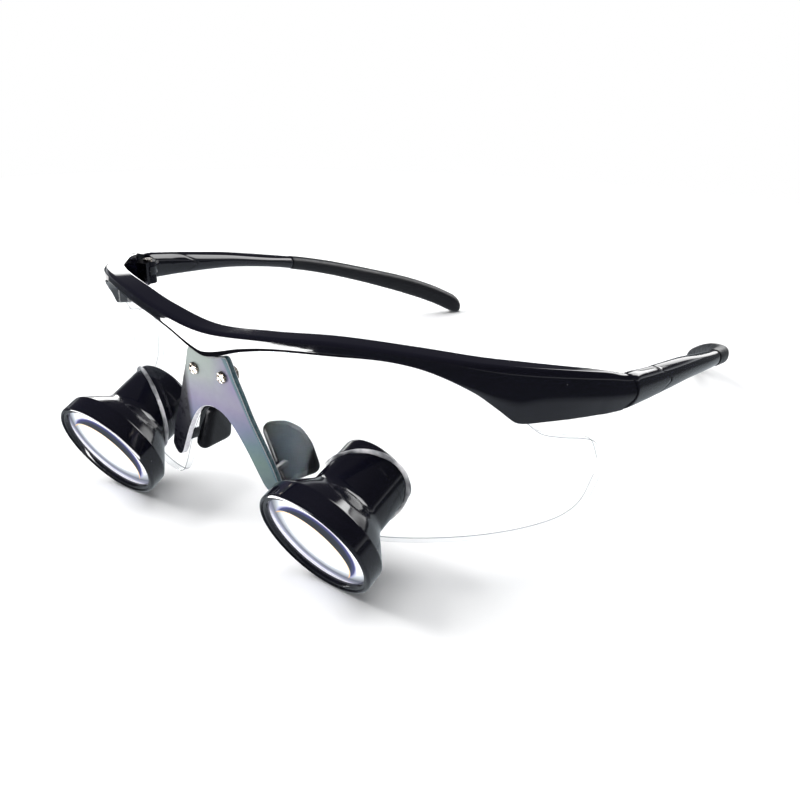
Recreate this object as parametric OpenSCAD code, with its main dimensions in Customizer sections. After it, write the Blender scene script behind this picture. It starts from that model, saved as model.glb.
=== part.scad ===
// Dental loupes: two short telescopes set through a clear wraparound lens that hangs
// from a slim brow bar with folding temples. Millimetres, +Z up, the front faces -Y,
// and the origin lies on the table below the middle of the whole object.
// Sides are the wearer's: _l is at +X and _r is at -X.

/* [Telescopes] */
// Distance between the two optical axes at the objective rims
pupil_distance = 62; // [58:1:66]
// Angle of each telescope below the horizontal, degrees
declination = 24.2; // [22:0.1:26]
// Inward turn of each telescope, degrees
convergence = 2.6; // [2:0.1:4]
// Outer radius of the objective rim
rim_r = 13.3; // [13:0.1:13.6]
// Radius of the glass that shows inside the rim
glass_r = 11.6; // [11.2:0.1:11.8]
// Outer radius of the barrel behind the cone
barrel_r = 8.3; // [8.1:0.1:8.4]
// Length of one telescope along its axis
scope_len = 21.6; // [21.4:0.2:22.4]

/* [Brow bar] */
// Length of the bar from its middle to the temple seam, along its outer face
brow_len = 91; // [88:1:93]
// Depth of the bar from front to back
brow_depth = 4.9; // [4.7:0.1:5.2]

/* [Carrier lens] */
// Thickness of the clear lens
lens_t = 1.8; // [1.6:0.1:2]
// Backward lean of the lens towards its lower edge, degrees
lens_lean = 4; // [3:0.5:5]

/* [Temples] */
// Length of one temple from its seam to its tip
temple_len = 140; // [134:1:144]
// Thickness of a temple
temple_t = 4; // [3.8:0.1:4.2]
// Radius of the hinge screws
hinge_screw_r = 0.7; // [0.6:0.05:0.8]

/* [Hidden] */
$fn = 96;
fit_gap = 0.05;

// ---- curves ------------------------------------------------------------------------

// Slope of a curve through the points p at its point i
function slope_at(p, i) =
    let (a = max(i - 1, 0), b = min(i + 1, len(p) - 1))
    (p[b][1] - p[a][1]) / (p[b][0] - p[a][0]);

// Number of the stretch between two points of p that t lies on
function stretch(t, p, i = 0) =
    i >= len(p) - 2 || t < p[i + 1][0] ? i : stretch(t, p, i + 1);

// Height at t of the smooth curve through the points p
function curve(t, p) =
    let (i = stretch(t, p), h = p[i + 1][0] - p[i][0], u = (t - p[i][0]) / h)
    (2 * u ^ 3 - 3 * u ^ 2 + 1) * p[i][1] + (u ^ 3 - 2 * u ^ 2 + u) * h * slope_at(p, i)
    + (3 * u ^ 2 - 2 * u ^ 3) * p[i + 1][1] + (u ^ 3 - u ^ 2) * h * slope_at(p, i + 1);

// 0 before a, 1 after b, and an even S between them
function ease(t, a, b) =
    let (u = max(0, min(1, (t - a) / (b - a)))) u * u * (3 - 2 * u);

function side_of(s) = s < 0 ? -1 : 1;

// The mirror image of a half outline given for s >= 0, as one list of points
function both_halves(p) =
    concat([for (i = [len(p) - 1:-1:1]) [-p[i][0], p[i][1]]], p);

// ---- brow line ---------------------------------------------------------------------

// Heading of the bar's outer face at s along it, degrees from +X
function brow_turn(s) = 0.55 * s + 0.00235 * s ^ 2;

plan_step = 0.5;
brow_x = [for (s = 0, x = 0; s <= 100; x = x + plan_step * cos(brow_turn(s + plan_step / 2)),
    s = s + plan_step) [s, x]];
brow_y = [for (s = 0, y = 0; s <= 100; y = y + plan_step * sin(brow_turn(s + plan_step / 2)),
    s = s + plan_step) [s, y]];

// A point s along the bar, q behind its outer face and z up, on a ring turned by turn
function brow_point(s, q, z, turn = 0) =
    let (a = abs(s), h = brow_turn(a) + turn)
    [side_of(s) * (lookup(a, brow_x) - q * sin(h)), lookup(a, brow_y) + q * cos(h), z];

// Heights of the bar's top and bottom edges along it
brow_top = both_halves([[0, 47.7], [15, 49], [30, 50.2], [45, 49.6], [60, 47.8], [75, 46],
    [91, 43.4]]);
brow_bottom = both_halves([[0, 41.9], [4, 42.8], [10, 44.9], [18, 46.6], [30, 47.5], [40, 47.7],
    [48, 46.2], [56, 42.5], [61, 38.9], [64.5, 36.2], [66.5, 35.8], [72, 35.9], [91, 35.9]]);

// Heading of the seam between the bar and the temple
seam_turn = 76;
// How far the seam bows backwards at mid height
seam_bow = 2.4;
// Where the bar thins to a skin that covers the hinge, and how thick the skin is
skin_from = 82;
skin_t = 2.2;

// ---- temple line -------------------------------------------------------------------

seam_x = lookup(brow_len, brow_x);
seam_y = lookup(brow_len, brow_y);

// Heading of the temple's outer face at t along it, degrees from +X
function temple_turn(t) = 83.7 + 0.134 * t + 0.00109 * t ^ 2;

temple_x = [for (t = 0, x = seam_x; t <= 150; x = x + plan_step * cos(temple_turn(t + plan_step / 2)),
    t = t + plan_step) [t, x]];
temple_y = [for (t = 0, y = seam_y; t <= 150; y = y + plan_step * sin(temple_turn(t + plan_step / 2)),
    t = t + plan_step) [t, y]];

// A point t along the temple, q behind its outer face and z up
function temple_point(t, q, z) =
    let (a = max(t, 0), h = temple_turn(a) + (seam_turn - temple_turn(0)) * (1 - ease(a, 0, 8)))
    [lookup(a, temple_x) - q * sin(h) + min(t, 0) * cos(h),
     lookup(a, temple_y) + q * cos(h) + min(t, 0) * sin(h), z];

// Height of the temple's middle and half of its height, along it
temple_mid = [[0, 39.65], [18, 37.4], [35, 34.8], [70, 27], [105, 16.3], [125, 9.1], [140, 1.9]];
temple_half = [[0, 3.7], [20, 2.9], [46, 2.1], [62, 2.1], [93, 2.6], [115, 3.2], [140, 3.5]];
// How much fuller the arm is on its inner half
temple_inner = [[0, 0], [8, 0.1], [16, 1], [30, 1.6], [48, 1.5], [58, 0.5], [64, 0], [140, 0]];
// Relative heights of the columns of a temple's section
temple_rows = [-1, -0.88, -0.55, 0, 0.55, 0.88, 1];

// Length of the tip's round end
tip_round = 5;
// Where the rubber sleeve starts, and how far the core wire runs
sleeve_from = 60;
core_from = 46;
core_to = 132;
// Rear point of the hinge block's chevron, and the depth of the chevron
chevron_at = 17.5;
chevron_depth = 7;

// ---- hinge -------------------------------------------------------------------------

hinge_at = 85;
hinge_depth = 4.4;
hinge_pin = brow_point(hinge_at, hinge_depth, 0);
hinge_turn = 70;
lug_r = 2.1;
lug_bottom = 36.4;
tongue_bottom = 38.5;
tongue_top = 41.1;
lug_top = 42.5;

// ---- telescope axis ----------------------------------------------------------------

rim_lip = 0.4;
rim_y = -3;
rim_z = rim_r * cos(declination) - rim_lip * sin(declination);
lens_cross = 14.1;

// ---- whole object ------------------------------------------------------------------

front_reach = rim_y - (rim_r - rim_lip) * sqrt(1 - (cos(declination) * cos(convergence)) ^ 2);
rear_reach = max([for (t = [temple_len - 1, temple_len]) each [for (p = shell_ring(t)) p.y]]);
y_centre = (front_reach + rear_reach) / 2;

module in_frame() {
    translate([0, -y_centre, 0])
        children();
}

module on_side(side) {
    mirror([side < 0 ? 1 : 0, 0, 0])
        in_frame()
            children();
}

// ---- solids from rings -------------------------------------------------------------

// A solid through rings of points. Each ring is a front column from bottom to top, then
// a back column from top to bottom, and the ends close by joining the two columns.
module ring_solid(rings) {
    n = len(rings[0]);
    last = len(rings) - 1;
    points = [for (r = rings) each r];
    sides = [for (i = [0:last - 1], j = [0:n - 1])
        let (a = i * n + j, b = i * n + (j + 1) % n)
        each [[a, b, b + n], [a, b + n, a + n]]];
    first_end = [for (j = [0:n / 2 - 2])
        each [[j, n - 1 - j, n - 2 - j], [j, n - 2 - j, j + 1]]];
    last_end = [for (j = [0:n / 2 - 2])
        let (k = last * n)
        each [[k + j, k + n - 2 - j, k + n - 1 - j], [k + j, k + j + 1, k + n - 2 - j]]];
    polyhedron(points, concat(sides, first_end, last_end));
}

// ---- brow bar ----------------------------------------------------------------------

// Columns of the bar's section: relative height and distance from the nearest face
brow_front = [[-1, 0.5], [-0.8, 0], [0, 0], [0.8, 0], [1, 0.6]];
brow_back = [[-1, 0.5], [-0.8, 0], [0, 0], [0.8, 0], [1, 0.5]];

function brow_ring(s, depth, thin) =
    let (a = abs(s), top = curve(s, brow_top), bottom = curve(s, brow_bottom),
        mid = (top + bottom) / 2, half = (top - bottom) / 2,
        turn = (seam_turn - brow_turn(brow_len)) * ease(a, brow_len - 8, brow_len),
        bow = seam_bow * ease(a, brow_len - 8, brow_len))
    concat(
        [for (c = brow_front)
            brow_point(s - side_of(s) * bow * c[0] ^ 2, c[1] * thin, mid + half * c[0], turn)],
        [for (i = [len(brow_back) - 1:-1:0])
            let (c = brow_back[i])
            brow_point(s - side_of(s) * bow * c[0] ^ 2, depth - c[1] * thin, mid + half * c[0], turn)]);

brow_half_stations = concat([0, 2, 4, 7, 10, 14, 18, 22, 26, 30, 34, 38, 42, 46, 49, 52, 54.5, 57,
    59, 61, 63, 65, 67.5, 71, 75, 79, skin_from], [skin_from + 0.01, 84.5, 87, 89, brow_len - 0.15]);
brow_stations = concat([for (i = [len(brow_half_stations) - 1:-1:1]) -brow_half_stations[i]],
    brow_half_stations);

// ---- carrier lens ------------------------------------------------------------------

lens_q = 2.4;
lens_ref_z = 45;
groove_depth = 1.2;

// How far behind the bar's outer face a point of the lens's front lies, at height z
function lens_depth(z) = lens_q + (lens_ref_z - z) * tan(lens_lean);

// Lower edge of the lens: the nose arch, then the long sweep to the outer corner
lens_low = both_halves([[0, 30.1], [3.5, 29], [6.2, 26.3], [8.9, 22.2], [11.4, 17.6],
    [14, 12.5], [16.5, 8.9], [20, 7.4], [28, 6.9], [38, 7], [50, 7.8], [64, 8.9], [76, 10.2],
    [82, 11.6], [86, 14.4], [88.2, 19.6]]);
// Upper edge of the lens where it leaves the bar and drops to the outer corner
lens_drop = [[64, 37.7], [67, 35.6], [71, 32.6], [76, 31.2], [82, 30], [85.5, 28.2], [88.2, 23.6]];
function lens_high(s) =
    let (a = abs(s))
    a < 64 ? curve(a, brow_bottom) + groove_depth - fit_gap : curve(a, lens_drop);

// A sheet that follows the brow line: s stations, lower and upper edges, and depths
function sheet_ring(s, low, high, front_q, thick, n) =
    concat(
        [for (j = [0:n]) let (z = low + (high - low) * j / n)
            brow_point(s, lens_depth(z) + front_q, z)],
        [for (j = [n:-1:0]) let (z = low + (high - low) * j / n)
            brow_point(s, lens_depth(z) + front_q + thick, z)]);

lens_half_stations = [0, 1.5, 3.5, 5, 6.5, 8, 10, 12, 14, 15.5, 17, 19, 22, 26, 30, 34, 38, 42, 46,
    50, 54, 57, 60, 62, 64, 66, 68, 71, 74, 78, 82, 84, 86, 87.4, 88.2];
lens_stations = concat([for (i = [len(lens_half_stations) - 1:-1:1]) -lens_half_stations[i]],
    lens_half_stations);

// ---- the parts ---------------------------------------------------------------------

module brow_bar() {
    color([0.03, 0.03, 0.04])
        in_frame()
            difference() {
                ring_solid([for (s = brow_stations)
                    let (skin = abs(s) > skin_from)
                    brow_ring(s, skin ? skin_t : brow_depth, skin ? 0.5 : 1)]);
                ring_solid([for (s = lens_stations) if (abs(s) < 70)
                    sheet_ring(s, curve(s, brow_bottom) - 3, curve(s, brow_bottom) + groove_depth,
                        -fit_gap, lens_t + 2 * fit_gap, 1)]);
            }
}

module carrier_lens() {
    color([0.85, 0.93, 0.95, 0.35])
        in_frame()
            difference() {
                ring_solid([for (s = lens_stations)
                    sheet_ring(s, curve(s, lens_low), lens_high(s), 0, lens_t, 6)]);
                for (side = [-1, 1])
                    scope_frame(side)
                        scope_room(fit_gap);
                for (side = [-1, 1])
                    bridge_axis(side) {
                        cylinder(r = bridge_screw_r + fit_gap, h = 20, center = true);
                        translate([0, 0, nut_from - fit_gap])
                            cylinder(r = nut_r + fit_gap, h = 3);
                    }
                for (side = [-1, 1])
                    mirror([side < 0 ? 1 : 0, 0, 0])
                        stub_axis()
                            cylinder(r = pad_stub_r + fit_gap, h = 20, center = true);
            }
}

// Nose bracket: a forked plate on the front of the lens, with a stub behind for each pad
bracket_t = 1.4;
bracket_low = both_halves([[0, 30.4], [3.5, 29.3], [6.2, 26.6], [8.9, 22.5], [11.4, 17.9],
    [13, 15.2], [14.6, 14.4], [15.8, 15.2], [16.4, 16.4]]);
bracket_high = both_halves([[0, 41.7], [3, 42.1], [5.3, 42.5], [5.9, 41.4], [7.1, 38.1], [8.5, 34.9],
    [10.3, 30.4], [12.5, 25.9], [14.5, 21.8], [15.8, 18.6], [16.4, 16.8]]);
bracket_half_stations = [0, 2, 3.5, 4.6, 5.3, 5.6, 5.9, 6.5, 7.2, 8, 9, 10, 11.4, 13, 14.2, 15.2, 15.9,
    16.4];
bracket_stations = concat([for (i = [len(bracket_half_stations) - 1:-1:1]) -bracket_half_stations[i]],
    bracket_half_stations);
pad_stub_r = 1.1;
stub_at = 13.6;
stub_z = 18.6;

// The line along which a pad's stub runs back from the plate through the lens
module stub_axis() {
    translate(brow_point(stub_at, lens_depth(stub_z) - 0.8, stub_z))
        rotate([-90, 0, brow_turn(stub_at)])
            children();
}

module nose_bracket() {
    color([0.05, 0.05, 0.06])
        difference() {
            union() {
                in_frame()
                    ring_solid([for (s = bracket_stations)
                        sheet_ring(s, curve(s, bracket_low), curve(s, bracket_high),
                            -fit_gap - bracket_t, bracket_t, 3)]);
                for (side = [-1, 1])
                    on_side(side)
                        stub_axis()
                            cylinder(r = pad_stub_r, h = 8);
            }
            for (side = [-1, 1])
                in_frame()
                    bridge_axis(side)
                        cylinder(r = bridge_screw_r + fit_gap, h = 20, center = true);
        }
}

// A nose pad: a soft rounded triangle, wider apart at the bottom and at the back.
// Each ball of its hull is a centre and a radius.
pad_balls = [[[9.2, 9.6, 25.2], 2], [[10.2, 12.4, 24.6], 2], [[11.3, 14.6, 22.9], 1.98],
    [[12.4, 16.1, 19.8], 2], [[13.6, 17, 15.2], 1.9], [[12.6, 10.4, 15.6], 1.9]];

module nose_pad(side) {
    color([0.02, 0.02, 0.02])
        on_side(side)
            difference() {
                pad_body();
                stub_axis()
                    cylinder(r = pad_stub_r + 0.02, h = 8.05);
            }
}

module pad_body() {
    hull()
        for (ball = pad_balls)
            translate(ball[0])
                sphere(r = ball[1], $fn = 28);
}

module nose_pad_l() { nose_pad(1); }
module nose_pad_r() { nose_pad(-1); }

// Bridge screws: they clamp the bracket to the lens through two holes
bridge_screw_r = 0.7;
bridge_head_r = 1.3;
bridge_head_t = 0.7;
bridge_half_gap = 4;
bridge_z = 38.1;
bridge_front = lens_depth(bridge_z) - 2 * fit_gap - bracket_t;
// Flush nuts in the back of the lens: radius, thickness and where they start
nut_r = 1.6;
nut_t = 0.75;
nut_from = bracket_t + lens_t - 0.8;

module bridge_axis(side) {
    translate([side * bridge_half_gap, bridge_front, bridge_z])
        rotate([-90, 0, 0])
            children();
}

module bridge_screws() {
    color("silver")
        in_frame()
            for (side = [-1, 1])
                bridge_axis(side)
                    difference() {
                        union() {
                            translate([0, 0, -bridge_head_t])
                                cylinder(r = bridge_head_r, h = bridge_head_t);
                            cylinder(r = bridge_screw_r, h = nut_from + nut_t - 0.1);
                        }
                        for (turn = [20, 110])
                            rotate([0, 0, turn])
                                translate([-0.9, -0.15, -bridge_head_t - 1])
                                    cube([1.8, 0.3, 1.35]);
                    }
}

module bridge_nuts() {
    color("silver")
        in_frame()
            for (side = [-1, 1])
                bridge_axis(side)
                    translate([0, 0, nut_from])
                        difference() {
                            cylinder(r = nut_r, h = nut_t);
                            translate([0, 0, -1])
                                cylinder(r = bridge_screw_r + 0.01, h = 3);
                        }
}

// ---- telescopes: local +Z runs from the rim's front plane towards the eye ------------

module scope_frame(side) {
    translate([side * pupil_distance / 2, rim_y, rim_z])
        rotate([declination - 90, 0, -side * convergence])
            children();
}

module scope(side) {
    in_frame()
        scope_frame(side)
            children();
}

rim_band = 4.2;
cone_end = 10;
objective_seat = 4.8;
joint_at = 17.6;
thread_r = barrel_r - 0.8;
bore_r = barrel_r - 1.6;

// Outer outline of a telescope's cone, widened by gap
function cone_outline(gap) = [[rim_r + gap, rim_band], [rim_r - 0.4 + gap, rim_band + 0.5],
    [barrel_r + 2.6 + gap, cone_end - 2.8], [barrel_r + 1.1 + gap, cone_end - 1.1],
    [barrel_r + 0.3 + gap, cone_end], [barrel_r + gap, cone_end + 0.8]];

// The room a telescope takes up where it passes through the lens
module scope_room(gap) {
    rotate_extrude()
        polygon(concat([[0, rim_band]], cone_outline(gap),
            [[barrel_r + gap, 3 * scope_len], [0, 3 * scope_len]]));
}

module objective_housing(side) {
    color([0.02, 0.02, 0.03])
        scope(side)
            rotate_extrude()
                polygon(concat([[glass_r + 1, 0], [rim_r - rim_lip, 0], [rim_r, rim_lip]],
                    cone_outline(0), [[barrel_r, joint_at], [thread_r, joint_at],
                    [thread_r, joint_at - 4], [bore_r, joint_at - 4], [bore_r, cone_end],
                    [glass_r - 1, objective_seat + 0.8], [glass_r - 0.4, objective_seat],
                    [glass_r + 1, objective_seat]]));
}

module objective_housing_l() { objective_housing(1); }
module objective_housing_r() { objective_housing(-1); }

// The threaded ring that holds the objective in from the front
module objective_ring(side) {
    color([0.06, 0.06, 0.07])
        scope(side)
            rotate_extrude()
                polygon([[glass_r, 0.9], [glass_r + 0.5, 0.3], [glass_r + 0.98, 0.3],
                    [glass_r + 0.98, 1.5], [glass_r, 1.33]]);
}

module objective_ring_l() { objective_ring(1); }
module objective_ring_r() { objective_ring(-1); }

// Lens section from its middle to radius r: a curved front and a curved back
function arc_column(r, z_edge, rise, n) =
    [for (i = [0:n]) [r * i / n, z_edge + rise * (1 - (i / n) ^ 2)]];

module lens_body(r, front_z, front_rise, back_z, back_rise) {
    front = arc_column(r, front_z, front_rise, 8);
    back = arc_column(r, back_z, back_rise, 8);
    rotate_extrude()
        polygon(concat(front, [for (i = [len(back) - 1:-1:0]) back[i]]));
}

module objective_lens(side) {
    color([0.75, 0.8, 0.95, 0.4])
        scope(side)
            lens_body(glass_r + 0.95, 1.52, -1.1, objective_seat - 0.14, 0.4);
}

module objective_lens_l() { objective_lens(1); }
module objective_lens_r() { objective_lens(-1); }

// The blackened tube that keeps the two lenses apart
module lens_spacer(side) {
    color([0.02, 0.02, 0.02])
        scope(side)
            rotate_extrude()
                polygon([[bore_r - 0.9, cone_end + 0.2], [bore_r - 0.02, cone_end + 0.2],
                    [bore_r - 0.02, joint_at - 4.1], [bore_r - 0.9, joint_at - 4.1]]);
}

module lens_spacer_l() { lens_spacer(1); }
module lens_spacer_r() { lens_spacer(-1); }

module eyepiece_housing(side) {
    color([0.02, 0.02, 0.03])
        scope(side)
            rotate_extrude()
                polygon([[thread_r - 0.02, joint_at - 3.9], [thread_r - 0.02, joint_at + 0.02],
                    [barrel_r, joint_at + 0.02], [barrel_r, scope_len - 0.4],
                    [barrel_r - 0.4, scope_len], [bore_r, scope_len], [bore_r, joint_at + 1.8],
                    [bore_r - 0.8, joint_at + 1.8], [bore_r - 0.8, joint_at - 3.9]]);
}

module eyepiece_housing_l() { eyepiece_housing(1); }
module eyepiece_housing_r() { eyepiece_housing(-1); }

module eyepiece_lens(side) {
    color([0.75, 0.8, 0.95, 0.4])
        scope(side)
            lens_body(bore_r - 0.02, joint_at + 1.82, 0.5, joint_at + 3.3, -0.7);
}

module eyepiece_lens_l() { eyepiece_lens(1); }
module eyepiece_lens_r() { eyepiece_lens(-1); }

module eyepiece_ring(side) {
    color([0.06, 0.06, 0.07])
        scope(side)
            rotate_extrude()
                polygon([[bore_r - 0.9, joint_at + 3.32], [bore_r - 0.02, joint_at + 3.32],
                    [bore_r - 0.02, scope_len - 0.2], [bore_r - 0.5, scope_len - 0.2]]);
}

module eyepiece_ring_l() { eyepiece_ring(1); }
module eyepiece_ring_r() { eyepiece_ring(-1); }

// The clear bead that bonds a barrel into its hole in the lens
collar_w = 0.75;
collar_t = 1.7;
collar_turn = 21;
module glue_collar(side) {
    color([0.9, 0.95, 0.97, 0.5])
        on_side(side)
            difference() {
                intersection() {
                    scope_frame(1)
                        cylinder(r = barrel_r + collar_w, h = 2 * scope_len);
                    translate([lens_centre.x, lens_centre.y, lens_centre.z])
                        rotate([lens_lean - 90, 0, collar_turn])
                            cylinder(r = 3 * barrel_r, h = collar_t);
                }
                scope_frame(1)
                    scope_room(0.01);
            }
}

// Where the telescope's axis meets the front of the lens, less most of the bead's depth
lens_centre = [pupil_distance / 2 + lens_cross * sin(convergence) * cos(declination),
    rim_y + lens_cross * cos(convergence) * cos(declination) - collar_t + 0.4,
    rim_z + lens_cross * sin(declination)];

module glue_collar_l() { glue_collar(1); }
module glue_collar_r() { glue_collar(-1); }

// ---- hinges: local +Y runs back along the temple, +X is outwards -------------------

module hinge_frame() {
    translate([hinge_pin.x, hinge_pin.y, 0])
        rotate(hinge_turn - 90)
            children();
}

module ear(bottom, top) {
    translate([0, 0, bottom])
        linear_extrude(top - bottom) {
            circle(r = lug_r);
            translate([-1.4, -3.4])
                square([lug_r + 1.3, 3.4]);
        }
}

module hinge_lug(side) {
    color([0.12, 0.12, 0.13])
        on_side(side)
            hinge_frame()
                difference() {
                    union() {
                        ear(lug_bottom, tongue_bottom - 0.1);
                        ear(tongue_top + 0.1, lug_top);
                        translate([-1.6, -3.6, lug_bottom])
                            cube([lug_r + 1.6, 1.2, lug_top - lug_bottom]);
                    }
                    translate([0, 0, lug_bottom - 1])
                        cylinder(r = hinge_screw_r + 0.02, h = 20);
                }
}

module hinge_lug_l() { hinge_lug(1); }
module hinge_lug_r() { hinge_lug(-1); }

module hinge_screw(side) {
    color("silver")
        on_side(side)
            hinge_frame()
                difference() {
                    union() {
                        translate([0, 0, lug_bottom + 0.1])
                            cylinder(r = hinge_screw_r, h = lug_top - lug_bottom);
                        translate([0, 0, lug_top + 0.02])
                            cylinder(r = 1.25, h = 0.5);
                    }
                    translate([-2, -0.15, lug_top + 0.3])
                        cube([4, 0.3, 1]);
                }
}

module hinge_screw_l() { hinge_screw(1); }
module hinge_screw_r() { hinge_screw(-1); }

// ---- temples -----------------------------------------------------------------------

// How far a superellipse column lies from the section's middle at relative height v
function bulge(v) = (1 - abs(v) ^ 2.6) ^ (1 / 2.6) * 0.82 + 0.18;

// A point of the temple's skin at t and relative height v: face -1 outside, 1 inside
function shell_point(t, v, face) =
    let (a = max(t, 0), size = tip_size(a),
        thin = temple_thin(a) + (face > 0 ? curve(a, temple_inner) : 0))
    temple_point(t, temple_t / 2 + face * thin * size * bulge(v),
        curve(a, temple_mid) + curve(a, temple_half) * size * v);

// Size of the round tip at t, as a fraction
function tip_size(t) =
    let (u = max(0, (t - temple_len + tip_round) / tip_round))
    max(0.25, sqrt(1 - min(1, u) ^ 2.4));

// Thickness of the temple's two halves: slim at the arm and fuller at the sleeve
function temple_thin(t) = curve(t, [[0, 2], [30, 1.75], [59, 1.6], [75, 1.9], [140, 2.1]]);

// A ring of the skin, bowed at the front seam and bent to a chevron behind it
function shell_ring(t) =
    let (bow = seam_bow * (1 - ease(t, 0, 8)),
        chevron = chevron_depth * ease(t, 4, 12) * (1 - ease(t, 26, 40)))
    concat(
        [for (v = temple_rows) shell_point(t - bow * v ^ 2 - chevron * abs(v), v, -1)],
        [for (i = [len(temple_rows) - 1:-1:0])
            let (v = temple_rows[i])
            shell_point(t - bow * v ^ 2 - chevron * abs(v), v, 1)]);

core_half = 1.1;
core_thin = 0.6;
function core_ring(t, gap) =
    let (mid = curve(t, temple_mid))
    concat(
        [for (v = temple_rows)
            temple_point(t, temple_t / 2 - (core_thin + gap) * bulge(v), mid + (core_half + gap) * v)],
        [for (i = [len(temple_rows) - 1:-1:0])
            let (v = temple_rows[i])
            temple_point(t, temple_t / 2 + (core_thin + gap) * bulge(v), mid + (core_half + gap) * v)]);

module hinge_block(side) {
    color([0.04, 0.04, 0.05])
        on_side(side)
            difference() {
                union() {
                    ring_solid([for (t = [0.15, 2, 4, 6, 8, 10, 12, 14.5, chevron_at]) shell_ring(t)]);
                    hinge_frame()
                        translate([0, 0, tongue_bottom])
                            linear_extrude(tongue_top - tongue_bottom) {
                                circle(r = lug_r);
                                polygon([[lug_r, 0], [2.3, 4.6], [3.4, 6.6], [3.4, 9.5],
                                    [1.6, 9.5], [0.2, 6], [-lug_r, 0]]);
                            }
                }
                hinge_frame()
                    translate([0, 0, lug_bottom - 1])
                        cylinder(r = hinge_screw_r + fit_gap, h = 20);
            }
}

module hinge_block_l() { hinge_block(1); }
module hinge_block_r() { hinge_block(-1); }

// The hard front part of a temple, with a blind slot for the core wire in its rear end
module temple_arm(side) {
    color([0.03, 0.03, 0.04])
        on_side(side)
            ring_solid(concat(
                [for (t = concat([chevron_at + 0.1], [20, 23, 26, 30, 35, 40, 45, 50, 55], [sleeve_from]))
                    shell_ring(t)],
                [for (t = [sleeve_from, 53, core_from]) core_ring(t, fit_gap)]));
}

module temple_arm_l() { temple_arm(1); }
module temple_arm_r() { temple_arm(-1); }

// The metal wire that stiffens the soft sleeve
module temple_core(side) {
    bends = [53, 60, 68, 76, 84, 92, 100, 108, 116, 124];
    color("silver")
        on_side(side)
            ring_solid([for (t = concat([core_from + 0.2], bends, [core_to - 0.2])) core_ring(t, 0)]);
}

module temple_core_l() { temple_core(1); }
module temple_core_r() { temple_core(-1); }

// The rubber sleeve over the rear of a temple, hollow for the core wire
module temple_sleeve(side) {
    inner = [60, 68, 76, 84, 92, 100, 108, 116, 124, core_to];
    outer = [60, 62, 68, 76, 84, 92, 100, 108, 116, 124, 130, 134, 136, 137.5, 138.7, 139.5];
    color([0.05, 0.05, 0.06])
        on_side(side)
            ring_solid(concat(
                [for (i = [len(inner) - 1:-1:0]) core_ring(max(inner[i], sleeve_from + 0.05), fit_gap)],
                [for (t = outer) shell_ring(max(t, sleeve_from + 0.05))],
                [shell_ring(temple_len)]));
}

module temple_sleeve_l() { temple_sleeve(1); }
module temple_sleeve_r() { temple_sleeve(-1); }

brow_bar();
carrier_lens();
nose_bracket();
nose_pad_l();
nose_pad_r();
bridge_screws();
bridge_nuts();
objective_housing_l();
objective_housing_r();
objective_ring_l();
objective_ring_r();
objective_lens_l();
objective_lens_r();
lens_spacer_l();
lens_spacer_r();
eyepiece_housing_l();
eyepiece_housing_r();
eyepiece_lens_l();
eyepiece_lens_r();
eyepiece_ring_l();
eyepiece_ring_r();
glue_collar_l();
glue_collar_r();
hinge_lug_l();
hinge_lug_r();
hinge_screw_l();
hinge_screw_r();
hinge_block_l();
hinge_block_r();
temple_arm_l();
temple_arm_r();
temple_core_l();
temple_core_r();
temple_sleeve_l();
temple_sleeve_r();
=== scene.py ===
# Dental loupes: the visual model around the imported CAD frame, with studio, lights and camera.
# Shapes are worked out in millimetres along the brow line and the temple line, as in the CAD,
# and every mesh is made in metres in the row frame.
import math

import bmesh
import bpy
from mathutils import Matrix, Vector


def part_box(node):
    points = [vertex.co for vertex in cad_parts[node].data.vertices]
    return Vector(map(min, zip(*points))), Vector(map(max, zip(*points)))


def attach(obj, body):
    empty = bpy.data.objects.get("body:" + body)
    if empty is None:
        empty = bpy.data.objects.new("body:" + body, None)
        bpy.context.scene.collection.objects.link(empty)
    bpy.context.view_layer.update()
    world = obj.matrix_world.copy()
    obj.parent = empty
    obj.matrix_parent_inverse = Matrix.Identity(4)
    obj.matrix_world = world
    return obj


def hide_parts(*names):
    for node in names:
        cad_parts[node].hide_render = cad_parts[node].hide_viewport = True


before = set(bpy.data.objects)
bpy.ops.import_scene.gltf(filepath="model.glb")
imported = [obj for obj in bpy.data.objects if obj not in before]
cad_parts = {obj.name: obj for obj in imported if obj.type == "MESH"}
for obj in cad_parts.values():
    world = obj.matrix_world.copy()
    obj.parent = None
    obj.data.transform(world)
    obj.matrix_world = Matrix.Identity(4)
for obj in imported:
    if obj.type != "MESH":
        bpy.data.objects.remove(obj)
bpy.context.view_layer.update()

MM = 0.001
FRONT_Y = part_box("brow_bar")[0].y / MM  # row-frame y of the bar's foremost line, mm
SIDES = (("l", 1), ("r", -1))


# ---- curves ----


def slope_at(points, i):
    """Slope of the curve at its point i, from the points beside it."""
    a, b = max(i - 1, 0), min(i + 1, len(points) - 1)
    return (points[b][1] - points[a][1]) / (points[b][0] - points[a][0])


def curve(t, points):
    """Height at t of the smooth curve through the points."""
    i = 0
    while i < len(points) - 2 and t >= points[i + 1][0]:
        i += 1
    h = points[i + 1][0] - points[i][0]
    u = (t - points[i][0]) / h
    return (
        (2 * u**3 - 3 * u**2 + 1) * points[i][1]
        + (u**3 - 2 * u**2 + u) * h * slope_at(points, i)
        + (3 * u**2 - 2 * u**3) * points[i + 1][1]
        + (u**3 - u**2) * h * slope_at(points, i + 1)
    )


def ease(t, a, b):
    """0 up to a, 1 from b on, and a smooth step between."""
    u = max(0.0, min(1.0, (t - a) / (b - a)))
    return u * u * (3 - 2 * u)


def both_halves(points):
    """The points of the +X half with their mirror images before them."""
    return [(-t, v) for t, v in reversed(points[1:])] + list(points)


WALK_STEP = 0.1


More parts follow.
